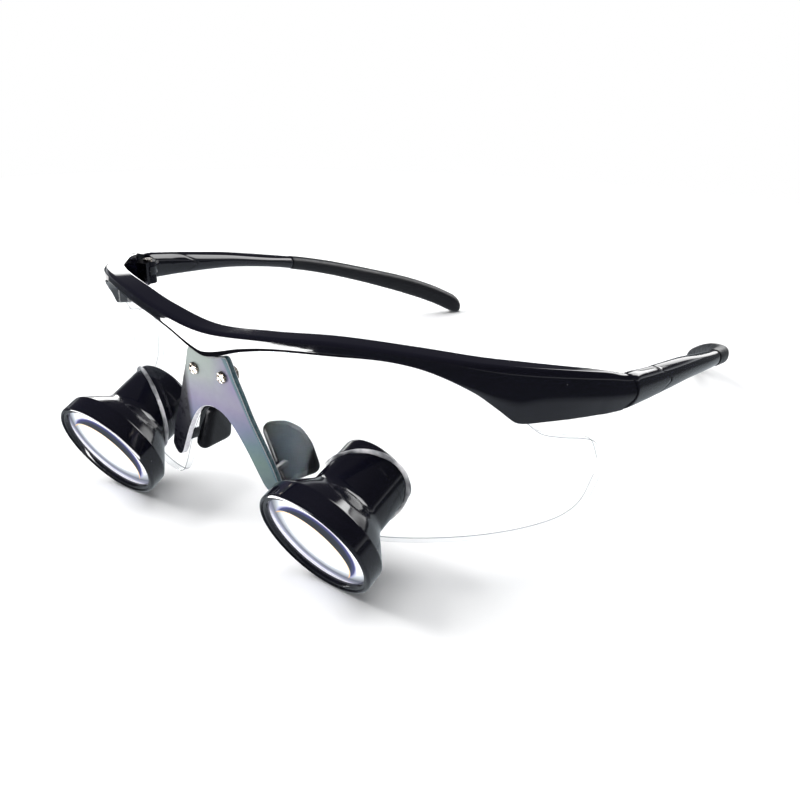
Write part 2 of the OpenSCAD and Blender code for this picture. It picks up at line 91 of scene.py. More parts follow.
def walk(turn, length, start=(0.0, 0.0)):
    """Plan points of a line that starts at start and heads along turn(distance), in degrees."""
    xs, ys = [start[0]], [start[1]]
    for i in range(int(length / WALK_STEP) + 2):
        heading = math.radians(turn((i + 0.5) * WALK_STEP))
        xs.append(xs[-1] + WALK_STEP * math.cos(heading))
        ys.append(ys[-1] + WALK_STEP * math.sin(heading))

    def at(distance):
        d = max(0.0, distance / WALK_STEP)
        i = min(int(d), len(xs) - 2)
        f = d - i
        return xs[i] + (xs[i + 1] - xs[i]) * f, ys[i] + (ys[i + 1] - ys[i]) * f

    return at


def spread(stops):
    """Stations from (start, step) pairs, the last pair being the end."""
    out = []
    for (a, step), (b, _) in zip(stops, stops[1:]):
        n = max(1, round((b - a) / step))
        out += [a + (b - a) * i / n for i in range(n)]
    return out + [stops[-1][0]]


def mirrored(stations):
    return [-s for s in reversed(stations[1:])] + stations


# ---- the brow line and the temple line ----

# Lengths in mm along the line, heights in mm above the floor, headings in degrees. The
# headings are polynomials of the distance along the line.
BROW_LEN = 91.0
BROW_DEPTH = 4.9
BROW_HEADING = (0.55, 0.00235)
SEAM_TURN = 76.0  # heading across the seam between the bar and a temple
SEAM_BOW = 2.4
SEAM_BLEND = 8.0  # length behind the seam over which the temple takes up its own heading
BROW_TOP = [(0, 47.7), (15, 49), (30, 50.2), (45, 49.6), (60, 47.8), (75, 46), (91, 43.4)]
BROW_BOTTOM = [(0, 41.9), (4, 42.8), (10, 44.9), (18, 46.6), (30, 47.5), (40, 47.7), (48, 46.2)]
BROW_BOTTOM += [(56, 42.5), (61, 38.9), (64.5, 36.2), (66.5, 35.8), (72, 35.9), (91, 35.9)]
BROW_TOP, BROW_BOTTOM = both_halves(BROW_TOP), both_halves(BROW_BOTTOM)
TEMPLE_LEN = 140.0
TEMPLE_HEADING = (83.7, 0.134, 0.00109)
TEMPLE_T = 4.0
TEMPLE_MID = [(0, 39.65), (18, 37.4), (35, 34.8), (70, 27), (105, 16.3), (125, 9.1), (140, 1.9)]
TEMPLE_HALF = [(0, 3.7), (20, 2.9), (46, 2.1), (62, 2.1), (93, 2.6), (115, 3.2), (140, 3.5)]
TEMPLE_THIN = [(0, 2), (30, 1.75), (59, 1.6), (75, 1.9), (140, 2.1)]
TEMPLE_INNER = [(0, 0), (8, 0.1), (16, 1), (30, 1.6), (48, 1.5), (58, 0.5), (64, 0), (140, 0)]
TIP_ROUND = 5.0
CHEVRON_DEPTH = 7.0
OVERRUN = 12.0  # how far the two lines are worked out past their ends


def brow_turn(s):
    return BROW_HEADING[0] * s + BROW_HEADING[1] * s * s


brow_xy = walk(brow_turn, BROW_LEN + OVERRUN)


def brow_point(s, q, z, turn=0.0):
    """s along the bar, q behind its outer face, z up, in mm from the bar's front."""
    side = -1 if s < 0 else 1
    x, y = brow_xy(abs(s))
    heading = math.radians(brow_turn(abs(s)) + turn)
    return Vector((side * (x - q * math.sin(heading)), y + q * math.cos(heading), z))


def temple_turn(t):
    return TEMPLE_HEADING[0] + TEMPLE_HEADING[1] * t + TEMPLE_HEADING[2] * t * t


temple_xy = walk(temple_turn, TEMPLE_LEN + OVERRUN, brow_xy(BROW_LEN))


def temple_point(t, q, z):
    """t behind the seam, q inwards of the outer face, z up, in mm from the bar's front."""
    a = max(t, 0.0)
    turn = temple_turn(a) + (SEAM_TURN - temple_turn(0)) * (1 - ease(a, 0, SEAM_BLEND))
    heading = math.radians(turn)
    x, y = temple_xy(a)
    before = min(t, 0.0)
    x += before * math.cos(heading) - q * math.sin(heading)
    y += before * math.sin(heading) + q * math.cos(heading)
    return Vector((x, y, z))


def to_row(p, side=1):
    """Metres in the row frame from mm measured at the bar's front."""
    return Vector((side * p[0] * MM, (p[1] + FRONT_Y) * MM, p[2] * MM))


# ---- meshes ----


def finish_object(name, verts, faces, mats, body, face_mats=None, sharp=40.0):
    """A smooth object that rides on body, with edges sharper than the angle kept crisp."""
    mesh = bpy.data.meshes.new(name)
    mesh.from_pydata([tuple(v) for v in verts], [], faces)
    for m in mats:
        mesh.materials.append(m)
    if face_mats is not None:
        mesh.polygons.foreach_set("material_index", face_mats)
    bm = bmesh.new()
    bm.from_mesh(mesh)
    bmesh.ops.remove_doubles(bm, verts=bm.verts, dist=1e-7)
    bmesh.ops.dissolve_degenerate(bm, dist=1e-8, edges=bm.edges)
    bmesh.ops.recalc_face_normals(bm, faces=bm.faces)
    for f in bm.faces:
        f.smooth = True
    for e in bm.edges:
        crisp = len(e.link_faces) == 2 and e.calc_face_angle(0) > math.radians(sharp)
        e.smooth = not crisp
    bm.to_mesh(mesh)
    bm.free()
    obj = bpy.data.objects.new(name, mesh)
    bpy.context.scene.collection.objects.link(obj)
    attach(obj, body)
    return obj


def stand_in(name, mesh, mats, body, node_name, slot, marks=None, sharp=40.0):
    """A finished object from (vertices, faces) that is seen in place of a CAD node."""
    obj = finish_object(name, *mesh, mats, body, marks, sharp)
    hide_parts(node_name)
    return obj


def pieces_of(tag, body, sharp):
    """A maker of pieces of one material whose names end in the tag and that ride on body."""

    def piece(name, mesh, mat, node_name, slot):
        names = (f"{name}_{tag}", f"{node_name}_{tag}")
        return stand_in(names[0], mesh, [mat], body, names[1], slot, sharp=sharp)

    return piece


def add_weighted(obj):
    """Even shading on flat faces beside rounded edges."""
    mod = obj.modifiers.new("even_normals", "WEIGHTED_NORMAL")
    mod.keep_sharp = True


def loft(rings):
    """Vertices and faces of a closed skin through rings of equal length, ends capped."""
    n = len(rings[0])
    verts = [p for ring in rings for p in ring]
    faces = []
    for i in range(len(rings) - 1):
        for j in range(n):
            k = (j + 1) % n
            faces.append((i * n + j, i * n + k, (i + 1) * n + k, (i + 1) * n + j))
    last = (len(rings) - 1) * n
    faces.append(tuple(range(n - 1, -1, -1)))
    faces.append(tuple(range(last, last + n)))
    return verts, faces


def rounded(corners, radii, steps=4):
    """A closed outline with its corners rounded, always with the same count of points."""
    out = []
    n = len(corners)
    for i in range(n):
        p, c, q = (Vector(corners[k % n]) for k in (i - 1, i, i + 1))
        before, after = p - c, q - c
        a = c + before.normalized() * min(radii[i], before.length * 0.45)
        b = c + after.normalized() * min(radii[i], after.length * 0.45)
        for k in range(steps + 1):
            u = k / steps
            out.append(a * (1 - u) ** 2 + c * (2 * u * (1 - u)) + b * u * u)
    return out


def join_meshes(parts):
    """One list of vertices and faces from several."""
    verts, faces = [], []
    for v, f in parts:
        base = len(verts)
        verts += list(v)
        faces += [tuple(i + base for i in face) for face in f]
    return verts, faces


# ---- materials ----


def feed(mat, socket, value):
    """Sets an input to a plain value, or links it to another node's output."""
    if isinstance(value, bpy.types.NodeSocket):
        mat.node_tree.links.new(value, socket)
    else:
        socket.default_value = value


def node(mat, kind, feeds=None, **props):
    """A new node with its inputs fed and its properties set."""
    made = mat.node_tree.nodes.new(kind)
    for key, value in props.items():
        setattr(made, key, value)
    for key, value in (feeds or {}).items():
        feed(mat, made.inputs[key], value)
    return made


def dress(mat, **sockets):
    """Feeds the solid shader's sockets; _ in a name stands for a space."""
    shader = mat.node_tree.nodes["Principled BSDF"]
    for key, value in sockets.items():
        feed(mat, shader.inputs[key.replace("_", " ")], value)


def new_material(name, colour, roughness, **sockets):
    mat = bpy.data.materials.new(name)
    mat.use_nodes = True
    dress(mat, Base_Color=(*colour, 1), Roughness=roughness, **sockets)
    return mat


def bare_surface(mat, kind="ShaderNodeOutputMaterial"):
    """Empties a material or world but for its output, and gives its surface socket."""
    mat.use_nodes = True
    mat.node_tree.nodes.clear()
    return node(mat, kind).inputs["Surface"]


def object_place(mat):
    return node(mat, "ShaderNodeTexCoord").outputs["Object"]


def axes_of(mat, vector):
    """X, Y and Z of a vector socket."""
    return node(mat, "ShaderNodeSeparateXYZ", {"Vector": vector}).outputs


def math_node(mat, operation, *values):
    """A sum on numbers or sockets, in the order that the operation takes them."""
    made = node(mat, "ShaderNodeMath", operation=operation)
    for socket, value in zip(made.inputs, values):
        feed(mat, socket, value)
    return made.outputs[0]


def mix_colour(mat, factor, a, b):
    """Colour a where factor is 0 and b where it is 1."""
    made = node(mat, "ShaderNodeMix", {"Factor": factor}, data_type="RGBA")
    colour_sockets = [s for s in made.inputs if s.type == "RGBA"]
    for socket, value in zip(colour_sockets, (a, b)):
        feed(mat, socket, (*value, 1) if isinstance(value, tuple) else value)
    return [s for s in made.outputs if s.type == "RGBA"][0]


def mix_shaders(mat, share, first, second):
    """The first shader where share is 0 and the second where it is 1."""
    return node(mat, "ShaderNodeMixShader", {0: share, 1: first, 2: second}).outputs[0]


def noise(mat, scale, detail):
    """A noise texture's value in object space; scale is in features per metre."""
    feeds = {"Vector": object_place(mat), "Scale": scale, "Detail": detail}
    return node(mat, "ShaderNodeTexNoise", feeds).outputs["Fac"]


def remap(mat, value, low, high, to_low=0.0, to_high=1.0):
    """value from low..high goes to to_low..to_high."""
    feeds = {"Value": value, "From Min": low, "From Max": high, "To Min": to_low, "To Max": to_high}
    return node(mat, "ShaderNodeMapRange", feeds).outputs["Result"]


def ramp(mat, value, stops):
    """A colour ramp over value, from (position, colour) stops."""
    made = node(mat, "ShaderNodeValToRGB")
    elements = made.color_ramp.elements
    while len(elements) > 1:
        elements.remove(elements[-1])
    elements[0].position, elements[0].color = stops[0][0], (*stops[0][1], 1)
    for position, colour in stops[1:]:
        elements.new(position).color = (*colour, 1)
    feed(mat, made.inputs["Fac"], value)
    return made.outputs["Color"]


def vary_roughness(mat, scale, low, high):
    dress(mat, Roughness=remap(mat, noise(mat, scale, 4.0), 0.35, 0.65, low, high))


def wobble(mat, scale, reach):
    """A slow noise from -reach to reach, to break up an even run of colour."""
    return remap(mat, noise(mat, scale, 2.0), 0.3, 0.7, -reach, reach)


def add_bump(mat, scale, strength, distance):
    feeds = {"Strength": strength, "Distance": distance, "Height": noise(mat, scale, 2.0)}
    dress(mat, Normal=node(mat, "ShaderNodeBump", feeds).outputs["Normal"])


SPECK_CELLS = 900.0  # cells per metre that may hold a speck
SPECK_FROM = 0.992  # only cells whose random value is above this hold one
SPECK_COLOUR = (0.12, 0.12, 0.13)


def add_specks(mat, base):
    """Sparse pale dust specks over the base colour."""
    feeds = {"Vector": object_place(mat), "Scale": SPECK_CELLS}
    cells = node(mat, "ShaderNodeTexVoronoi", feeds, feature="F1")
    near = remap(mat, cells.outputs["Distance"], 0.05, 0.12, 1.0, 0.0)
    pick = node(mat, "ShaderNodeSeparateColor", {"Color": cells.outputs["Color"]})
    rare = math_node(mat, "GREATER_THAN", pick.outputs["Red"], SPECK_FROM)
    speck = math_node(mat, "MULTIPLY", near, rare)
    dress(mat, Base_Color=mix_colour(mat, speck, base, SPECK_COLOUR))


def worn(name, colour, roughness, wear, **sockets):
    """A material whose roughness wanders; wear is features per metre, lowest and highest."""
    mat = new_material(name, colour, roughness, **sockets)
    vary_roughness(mat, *wear)
    return mat


GLOSS_BASE = (0.0042, 0.0042, 0.0085)


def gloss_black(name, low, high):
    """Polished black plastic with a faint blue cast."""
    mat = worn(name, GLOSS_BASE, 0.08, (260, low, high), IOR=1.52)
    add_specks(mat, GLOSS_BASE)
    add_bump(mat, 420, 0.04, 0.0002)
    return mat


FRAME_BLACK = gloss_black("frame_black_gloss", 0.035, 0.075)
TEMPLE_BLACK = gloss_black("temple_black_gloss", 0.04, 0.09)
SCOPE_BLACK = gloss_black("scope_black_gloss", 0.05, 0.12)
PEG_BLACK = gloss_black("pad_peg_black", 0.1, 0.2)
# The bar's lower lip is a dull black without specular, standing in as painted shade under the bar.
LIP_WEAR, LIP_SHADE_COLOUR = (500, 0.28, 0.42), (0.006, 0.006, 0.008)
LIP_SHADE_BLACK = worn("frame_black_lip_shade", LIP_SHADE_COLOUR, 0.35, LIP_WEAR, Specular_IOR_Level=0.0)
SCOPE_INNER = worn("scope_inner_black", (0.004, 0.004, 0.004), 0.75, (900, 0.65, 0.85))

SLEEVE_WEAR, SLEEVE_COLOUR = (700, 0.30, 0.46), (0.006, 0.006, 0.009)
SLEEVE_RUBBER = worn("sleeve_rubber_black", SLEEVE_COLOUR, 0.38, SLEEVE_WEAR, Specular_IOR_Level=0.3)
add_bump(SLEEVE_RUBBER, 5200, 0.12, 0.00006)

STEEL = worn("screw_steel", (0.50, 0.45, 0.39), 0.26, (2600, 0.12, 0.34), Metallic=1.0)
add_bump(STEEL, 5000, 0.08, 0.00004)
HINGE_METAL = worn("hinge_metal_dark", (0.025, 0.025, 0.032), 0.34, (1800, 0.22, 0.4), Metallic=1.0)
CORE_WIRE = worn("core_wire_steel", (0.5, 0.5, 0.5), 0.3, (2000, 0.22, 0.4), Metallic=1.0)


# ---- clear materials ----

SLANT_SHARE = 0.25  # how much more a clear wall mirrors when seen edge on


def clear_sheet(name, tint, head_on, roughness=0.0):
    """A thin clear wall: light goes straight on, but for head_on mirrored and more at a slant."""
    mat = bpy.data.materials.new(name)
    surface = bare_surface(mat)
    through = node(mat, "ShaderNodeBsdfTransparent", {"Color": (*tint, 1)})
    gloss = {"Roughness": roughness, "Color": (1, 1, 1, 1)}
    mirror = node(mat, "ShaderNodeBsdfAnisotropic", gloss)
    slant = node(mat, "ShaderNodeLayerWeight", {"Blend": 0.5})
    fifth = math_node(mat, "POWER", slant.outputs["Facing"], 5.0)
    share = math_node(mat, "MULTIPLY_ADD", fifth, SLANT_SHARE, head_on)
    feed(mat, surface, mix_shaders(mat, share, through.outputs[0], mirror.outputs[0]))
    return mat, mirror


def coating(mat, socket):
    """The coloured sheen of the lens coating over the nose, fading to neutral outwards."""
    xyz = axes_of(mat, object_place(mat))
    down = math_node(mat, "MULTIPLY_ADD", xyz[2], -28.0, 1.2)
    across = math_node(mat, "MULTIPLY_ADD", xyz[0], 26.0, 0.15)
    place = math_node(mat, "ADD", math_node(mat, "ADD", down, across), wobble(mat, 60, 0.08))
    stops = [
        (0.0, (0.72, 0.80, 0.74)),
        (0.2, (0.60, 0.62, 0.70)),
        (0.38, (0.62, 0.50, 0.82)),
        (0.55, (0.42, 0.56, 0.80)),
        (0.72, (0.38, 0.66, 0.58)),
        (0.88, (0.50, 0.62, 0.56)),
        (1.0, (0.46, 0.56, 0.66)),
    ]
    far = remap(mat, math_node(mat, "ABSOLUTE", xyz[0]), 0.018, 0.026)
    feed(mat, socket, mix_colour(mat, far, ramp(mat, place, stops), (0.8, 0.8, 0.8)))


LENS_CLEAR, lens_mirror = clear_sheet("lens_clear", (0.992, 0.994, 0.995), 0.004)
coating(LENS_CLEAR, lens_mirror.inputs["Color"])
LENS_EDGE, _ = clear_sheet("lens_edge", (0.86, 0.87, 0.88), 0.04, 0.1)
LENS_RIM, _ = clear_sheet("lens_rim", (0.34, 0.36, 0.38), 0.04, 0.1)


def glue_material():
    """Clear glue with painted sheen: pale painted highlights and dark painted shade in patches laid
    out by noise, over a smooth gloss.
    """
    mat = worn("glue_bead_painted_sheen", (0.86, 0.87, 0.89), 0.08, (1500, 0.05, 0.16), IOR=1.5)
    # The noise lays out painted highlights and shade across the bead.
    sheen_tone = remap(mat, noise(mat, 170, 3.0), 0.35, 0.65)
    stops = [(0.0, (0.10, 0.10, 0.11)), (0.45, (0.45, 0.45, 0.47)), (0.8, (1.0, 0.97, 0.99))]
    dress(mat, Base_Color=ramp(mat, sheen_tone, stops))
    add_bump(mat, 1300, 0.3, 0.0003)
    return mat


BEAD_PAINTED_SHEEN = glue_material()


# ---- brow bar ----

SKIN_FROM = 82.0  # where the bar's back is down to the skin round the hinge
SKIN_T = 2.2
NARROW_FROM = 62.0  # from here to SKIN_FROM the bar gets thinner by NARROW_BY
NARROW_BY = 1.5
TAB_FROM, TAB_TO = 48.0, 66.0  # where the bar's section turns into the tab's
# Share of the bar's height, from the top, where the lower lip meets the face: in the tab this
# is the lower facet
FACET = [(0, 0.78), (18, 0.73), (30, 0.75), (44, 0.85), (52, 0.93), (58, 0.82), (64, 0.62)]
FACET += [(70, 0.5), (80, 0.53), (91, 0.6)]
LIP_COLUMNS = (0, 5)  # columns of the section that make up the lower lip
LIP_END = 50.0  # where the lip's painted shade runs out along the bar


def brow_section(s):
    """Corners (q, z) of the bar's section and their radii: lip, facet, crease, top, back."""
    a = abs(s)
    top, bottom = curve(a, BROW_TOP), curve(a, BROW_BOTTOM)
    tab = ease(a, TAB_FROM, TAB_TO)
    facet = top - (top - bottom) * curve(a, FACET)
    crease = top - 0.55 - 0.5 * tab
    skin = ease(a, SKIN_FROM - 2.5, SKIN_FROM + 2.0)
    depth = BROW_DEPTH - NARROW_BY * ease(a, NARROW_FROM, SKIN_FROM)
    depth += (SKIN_T - depth) * skin
    lip = min(0.45 + 0.85 * tab, depth * 0.5)
    lean = 0.45 * tab
    slope = 0.6 + 0.5 * tab
    corners = [
        (lip, bottom),
        (0.0, facet),
        (lean, crease),
        (slope, top),
        (depth, top),
        (depth, bottom),
    ]
    radii = [0.15, 0.2 + 0.9 * tab, 0.22 + 0.5 * tab, 0.4, 0.5 - 0.35 * skin, 0.35]
    return corners, radii


def brow_ring(s):
    """The bar's section at s, bowed and turned towards the seam at the bar's end."""
    corners, radii = brow_section(s)
    a = abs(s)
    side = -1 if s < 0 else 1
    end = ease(a, BROW_LEN - SEAM_BLEND, BROW_LEN)
    turn = (SEAM_TURN - brow_turn(BROW_LEN)) * end
    top, bottom = curve(a, BROW_TOP), curve(a, BROW_BOTTOM)
    mid, half = (top + bottom) / 2, (top - bottom) / 2
    ring = []
    for q, z in rounded(corners, radii):
        bow = SEAM_BOW * end * ((z - mid) / half) ** 2
        ring.append(to_row(brow_point(s - side * bow, q, z, turn)))
    return ring


BROW_STOPS = [(0, 1.0), (40, 0.8), (70, 1.0), (81, 0.4), (BROW_LEN - 0.15, 1)]


def make_brow():
    """The bar from tab to tab, with its lower lip marked for a dull black of painted shade."""
    stations = mirrored(spread(BROW_STOPS))
    v, f = loft([brow_ring(s) for s in stations])
    columns = len(v) // len(stations)
    first, last = LIP_COLUMNS
    marks = []
    for i in range(len(f)):
        station, column = divmod(i, columns)
        in_lip = first <= column <= last and station < len(stations) - 1
        marks.append(1 if in_lip and abs(stations[station]) < LIP_END else 0)
    mats = [FRAME_BLACK, LIP_SHADE_BLACK]
    return stand_in("brow_shell", (v, f), mats, "frame", "brow_bar", "frame_black", marks)


add_weighted(make_brow())


# ---- carrier lens ----

LENS_Q = 2.4
LENS_T = 1.8
LENS_LEAN = 4.0
LENS_REF_Z = 45.0
GROOVE = 1.15  # how far the lens goes up into the bar
TAB_LENS_FROM = 64  # from here outwards the lens hangs free of the bar
LENS_END = 88.2
CHAMFER = 0.15
LENS_LOW = [(0, 30.1), (3.5, 29), (6.2, 26.3), (8.9, 22.2), (11.4, 17.6), (14, 12.5), (16.5, 8.9)]
LENS_LOW += [(20, 7.4), (28, 6.9), (38, 7), (50, 7.8), (64, 8.9), (76, 10.2), (82, 11.6)]
LENS_LOW = both_halves(LENS_LOW + [(86, 14.4), (LENS_END, 19.6)])
LENS_DROP = [(TAB_LENS_FROM, 37.7), (67, 35.6), (71, 32.6), (76, 31.2), (82, 30), (85.5, 28.2)]
LENS_DROP += [(LENS_END, 23.6)]


def lens_depth(z):
    """How far behind the bar's outer face the leaning lens's front lies at height z."""
    return LENS_Q + (LENS_REF_Z - z) * math.tan(math.radians(LENS_LEAN))


def lens_high(a):
    return curve(a, BROW_BOTTOM) + GROOVE if a < TAB_LENS_FROM else curve(a, LENS_DROP)


def sheet(stations, low, high, front_q, thick, n):
    """A closed sheet along the brow line, with chamfered edges.

    The face marks are 0 for the walls, 1 for the lower edge, 2 for the upper edge and the
    ends, and 3 for the chamfers.
    """
    rings = []
    for s in stations:
        a = abs(s)
        z0, z1 = low(a), high(a)
        c = min(CHAMFER, (z1 - z0) * 0.2)
        heights = [z0 + c + (z1 - z0 - 2 * c) * j / n for j in range(n + 1)]
        outline = [(0.0, z) for z in heights] + [(c, z1), (thick - c, z1)]
        outline += [(thick, z) for z in reversed(heights)] + [(thick - c, z0), (c, z0)]
        rings.append([to_row(brow_point(s, lens_depth(z) + front_q + q, z)) for q, z in outline])
    verts, faces = loft(rings)
    special = {n: 3, n + 1: 2, n + 2: 3, 2 * n + 3: 3, 2 * n + 4: 1, 2 * n + 5: 3}
    around = [special.get(j, 0) for j in range(len(rings[0]))]
    return verts, faces, around * (len(rings) - 1) + [2, 2]


LENS_STOPS = [(0, 0.7), (20, 1.2), (60, 0.8), (LENS_END, 1)]
LENS_ROWS = 14
LENS_MATS = [LENS_CLEAR, LENS_EDGE, LENS_EDGE, LENS_RIM]
v, f, edge = sheet(
    mirrored(spread(LENS_STOPS)), lambda a: curve(a, LENS_LOW), lens_high, 0.0, LENS_T, LENS_ROWS
)
lens = finish_object("clear_lens", v, f, LENS_MATS, "frame", edge, sharp=30)


# ---- telescopes ----

PUPIL = 62.0  # between the centres of the two rims
DECLINATION = 24.2
CONVERGENCE = 2.6
RIM_R = 13.3
RIM_LIP = 0.4
RIM_Y = -3.0
RIM_Z = 11.9672  # the rims then rest on the floor
GLASS_R = 11.6
BARREL_R = 8.3
BORE_R = BARREL_R - 1.6
# Distances back from the rim's front plane
RIM_BAND = 4.2
CONE_END = 10.0
JOINT_AT = 17.6
SCOPE_LEN = 21.6
ROUND = 128


def scope_matrix(side):
    """Local +Z runs from the rim's front plane back along the telescope, in mm."""
    place = Matrix.Translation((side * PUPIL / 2, RIM_Y, RIM_Z))
    turn = Matrix.Rotation(math.radians(-side * CONVERGENCE), 4, "Z")
    tilt = Matrix.Rotation(math.radians(DECLINATION - 90), 4, "X")
    return place @ turn @ tilt


def turned(outline, side, count):
    """The (r, z) points of the outline, set down count times round the telescope's axis."""
    matrix = scope_matrix(side)
    verts = []
    for k in range(count):
        a = 2 * math.pi * k / count
        for r, z in outline:
            verts.append(to_row(matrix @ Vector((r * math.cos(a), r * math.sin(a), z))))
    return verts


def turned_faces(n, count, strips):
    """Faces between neighbouring columns of n points; n strips close the outline."""
    faces = []
    for k in range(count):
        m = (k + 1) % count
        for j in range(strips):
            i = (j + 1) % n
            faces.append((k * n + j, k * n + i, m * n + i, m * n + j))
    return faces


def revolve(profile, side):
    """A ring body from a closed (r, z) outline about the telescope's axis."""
    n = len(profile)
    return turned(profile, side, ROUND), turned_faces(n, ROUND, n)


def disc_body(front, back, side, count=ROUND):
    """A lens body between two (r, z) columns that start on the axis."""
    matrix = scope_matrix(side)
    inner = [p for p in front + back[::-1] if p[0] > 1e-6]
    n = len(inner)
    verts = turned(inner, side, count)
    faces = turned_faces(n, count, n - 1)
    for z, j in ((front[0][1], 0), (back[0][1], n - 1)):
        tip = len(verts)
        verts.append(to_row(matrix @ Vector((0, 0, z))))
        for k in range(count):
            faces.append((tip, k * n + j, ((k + 1) % count) * n + j))
    return verts, faces


ARC_STEPS = 14


def arc(r, z_edge, rise):
    """Half of a lens face as (r, z) points from the axis out to r."""
    points = []
    for i in range(ARC_STEPS + 1):
        u = i / ARC_STEPS
        points.append((r * i / ARC_STEPS, z_edge + rise * (1 - u**2)))
    return points


HOUSING = [
    (GLASS_R + 1, 0),
    (RIM_R - RIM_LIP, 0),
    (RIM_R, RIM_LIP),
    (RIM_R, RIM_BAND),
    (RIM_R - 0.4, RIM_BAND + 0.5),
    (BARREL_R + 2.6, CONE_END - 2.8),
    (BARREL_R + 1.1, CONE_END - 1.1),
    (BARREL_R + 0.3, CONE_END),
    (BARREL_R, CONE_END + 0.8),
    (BARREL_R, JOINT_AT - 0.02),
    (BORE_R, JOINT_AT - 0.02),
    (BORE_R, CONE_END),
    (GLASS_R - 1, 5.6),
    (GLASS_R - 0.4, 4.8),
    (GLASS_R + 1, 4.8),
]
HOUSING_ROUND = [0.12, 0.25, 0.25, 0.25, 0.25, 1.2, 0.9, 0.6, 0.5, 0.08, 0.05, 0.2, 0.1, 0.1, 0.1]
EYE_HOUSING = [
    (BARREL_R, JOINT_AT + 0.02),
    (BARREL_R, SCOPE_LEN - 0.5),
    (BARREL_R - 0.5, SCOPE_LEN),
    (BORE_R, SCOPE_LEN),
    (BORE_R, JOINT_AT + 1.8),
    (BORE_R - 0.8, JOINT_AT + 1.8),
    (BORE_R - 0.8, JOINT_AT + 0.02),
]
EYE_ROUND = [0.08, 0.4, 0.4, 0.12, 0.1, 0.1, 0.05]
RING = [
    (GLASS_R, 0.9),
    (GLASS_R + 0.35, 0.32),
    (GLASS_R + 0.98, 0.3),
    (GLASS_R + 0.98, 1.5),
    (GLASS_R, 1.33),
]
EYE_RING = [
    (BORE_R - 0.9, JOINT_AT + 3.32),
    (BORE_R - 0.02, JOINT_AT + 3.32),
    (BORE_R - 0.02, SCOPE_LEN - 0.2),
    (BORE_R - 0.5, SCOPE_LEN - 0.2),
]


PAINTED_LIGHT_AT = -48.0  # angle about the axis from which the painted highlight on the objective glasses comes


def glass_material(name, side):
    """Objective glass, and its own coordinates: 0 on the axis and 1 at the glass's edge."""
    mat = new_material(name, (0.9, 0.9, 0.92), 0.03, IOR=1.5, Specular_IOR_Level=0.08)
    matrix = scope_matrix(side)
    feeds = {
        "Vector": object_place(mat),
        "Location": to_row(matrix @ Vector((0, 0, 0))),
        "Rotation": matrix.to_euler("XYZ"),
        "Scale": (GLASS_R * MM,) * 3,
    }
    local = node(mat, "ShaderNodeMapping", feeds, vector_type="TEXTURE")
    return mat, axes_of(mat, local.outputs["Vector"])


def distance_from(mat, xyz, cx, cy):
    """Distance in the glass's plane from (cx, cy), in glass radii."""
    dx = math_node(mat, "SUBTRACT", xyz[0], cx)
    dy = math_node(mat, "SUBTRACT", xyz[1], cy)
    squares = [math_node(mat, "MULTIPLY", d, d) for d in (dx, dy)]
    return math_node(mat, "SQRT", math_node(mat, "ADD", *squares))


def paint_glass_reflections(mat, xyz):
    """Painted reflections: a bright painted highlight with a dark crescent of painted shade, an
    orange fringe inside it and a grey band beyond.
    """
    cx, cy = math.cos(math.radians(PAINTED_LIGHT_AT)), math.sin(math.radians(PAINTED_LIGHT_AT))
    outer = distance_from(mat, xyz, 0.0, 0.0)
    inner = distance_from(mat, xyz, -cx * 0.31, -cy * 0.31)
    inside = remap(mat, outer, 0.80, 0.86, 1.0, 0.0)
    painted_crescent = math_node(mat, "MULTIPLY", inside, remap(mat, inner, 0.825, 0.845))
    crescent_shade_stops = [
        (0.0, (0.022, 0.024, 0.028)),
        (0.55, (0.03, 0.033, 0.045)),
        (0.8, (0.05, 0.055, 0.17)),
        (1.0, (0.35, 0.36, 0.75)),
    ]
    # The painted shade inside the dark crescent.
    depth = ramp(mat, remap(mat, outer, 0.55, 0.86), crescent_shade_stops)
    highlight_stops = [
        (0.0, (1, 1, 1)),
        (0.08, (1, 1, 1)),
        (0.32, (0.48, 0.51, 0.55)),
        (0.53, (0.13, 0.14, 0.18)),
        (0.70, (0.30, 0.31, 0.40)),
        (0.83, (0.80, 0.80, 0.90)),
        (1.0, (0.85, 0.85, 0.95)),
    ]
    from_painted_light = distance_from(mat, xyz, cx * 0.6, cy * 0.6)
    painted_highlight = ramp(mat, remap(mat, from_painted_light, 0.8, 1.5), highlight_stops)
    rising = remap(mat, inner, 0.808, 0.822)
    falling = remap(mat, inner, 0.822, 0.836, 1.0, 0.0)
    painted_fringe = math_node(mat, "MULTIPLY", math_node(mat, "MULTIPLY", rising, falling), inside)
    colour = mix_colour(mat, painted_fringe, mix_colour(mat, painted_crescent, painted_highlight, depth), (1.0, 0.55, 0.12))
    # The painted reflections are both the colour and a glow, so the glass glows though it is no lamp.
    dress(mat, Base_Color=colour, Emission_Color=colour, Emission_Strength=0.55)


EYE_COLOUR, EYE_WEAR = (0.05, 0.055, 0.08), (500, 0.02, 0.05)
EYE_GLASS = worn("eye_glass", EYE_COLOUR, 0.03, EYE_WEAR, IOR=1.6, Coat_Weight=0.8)


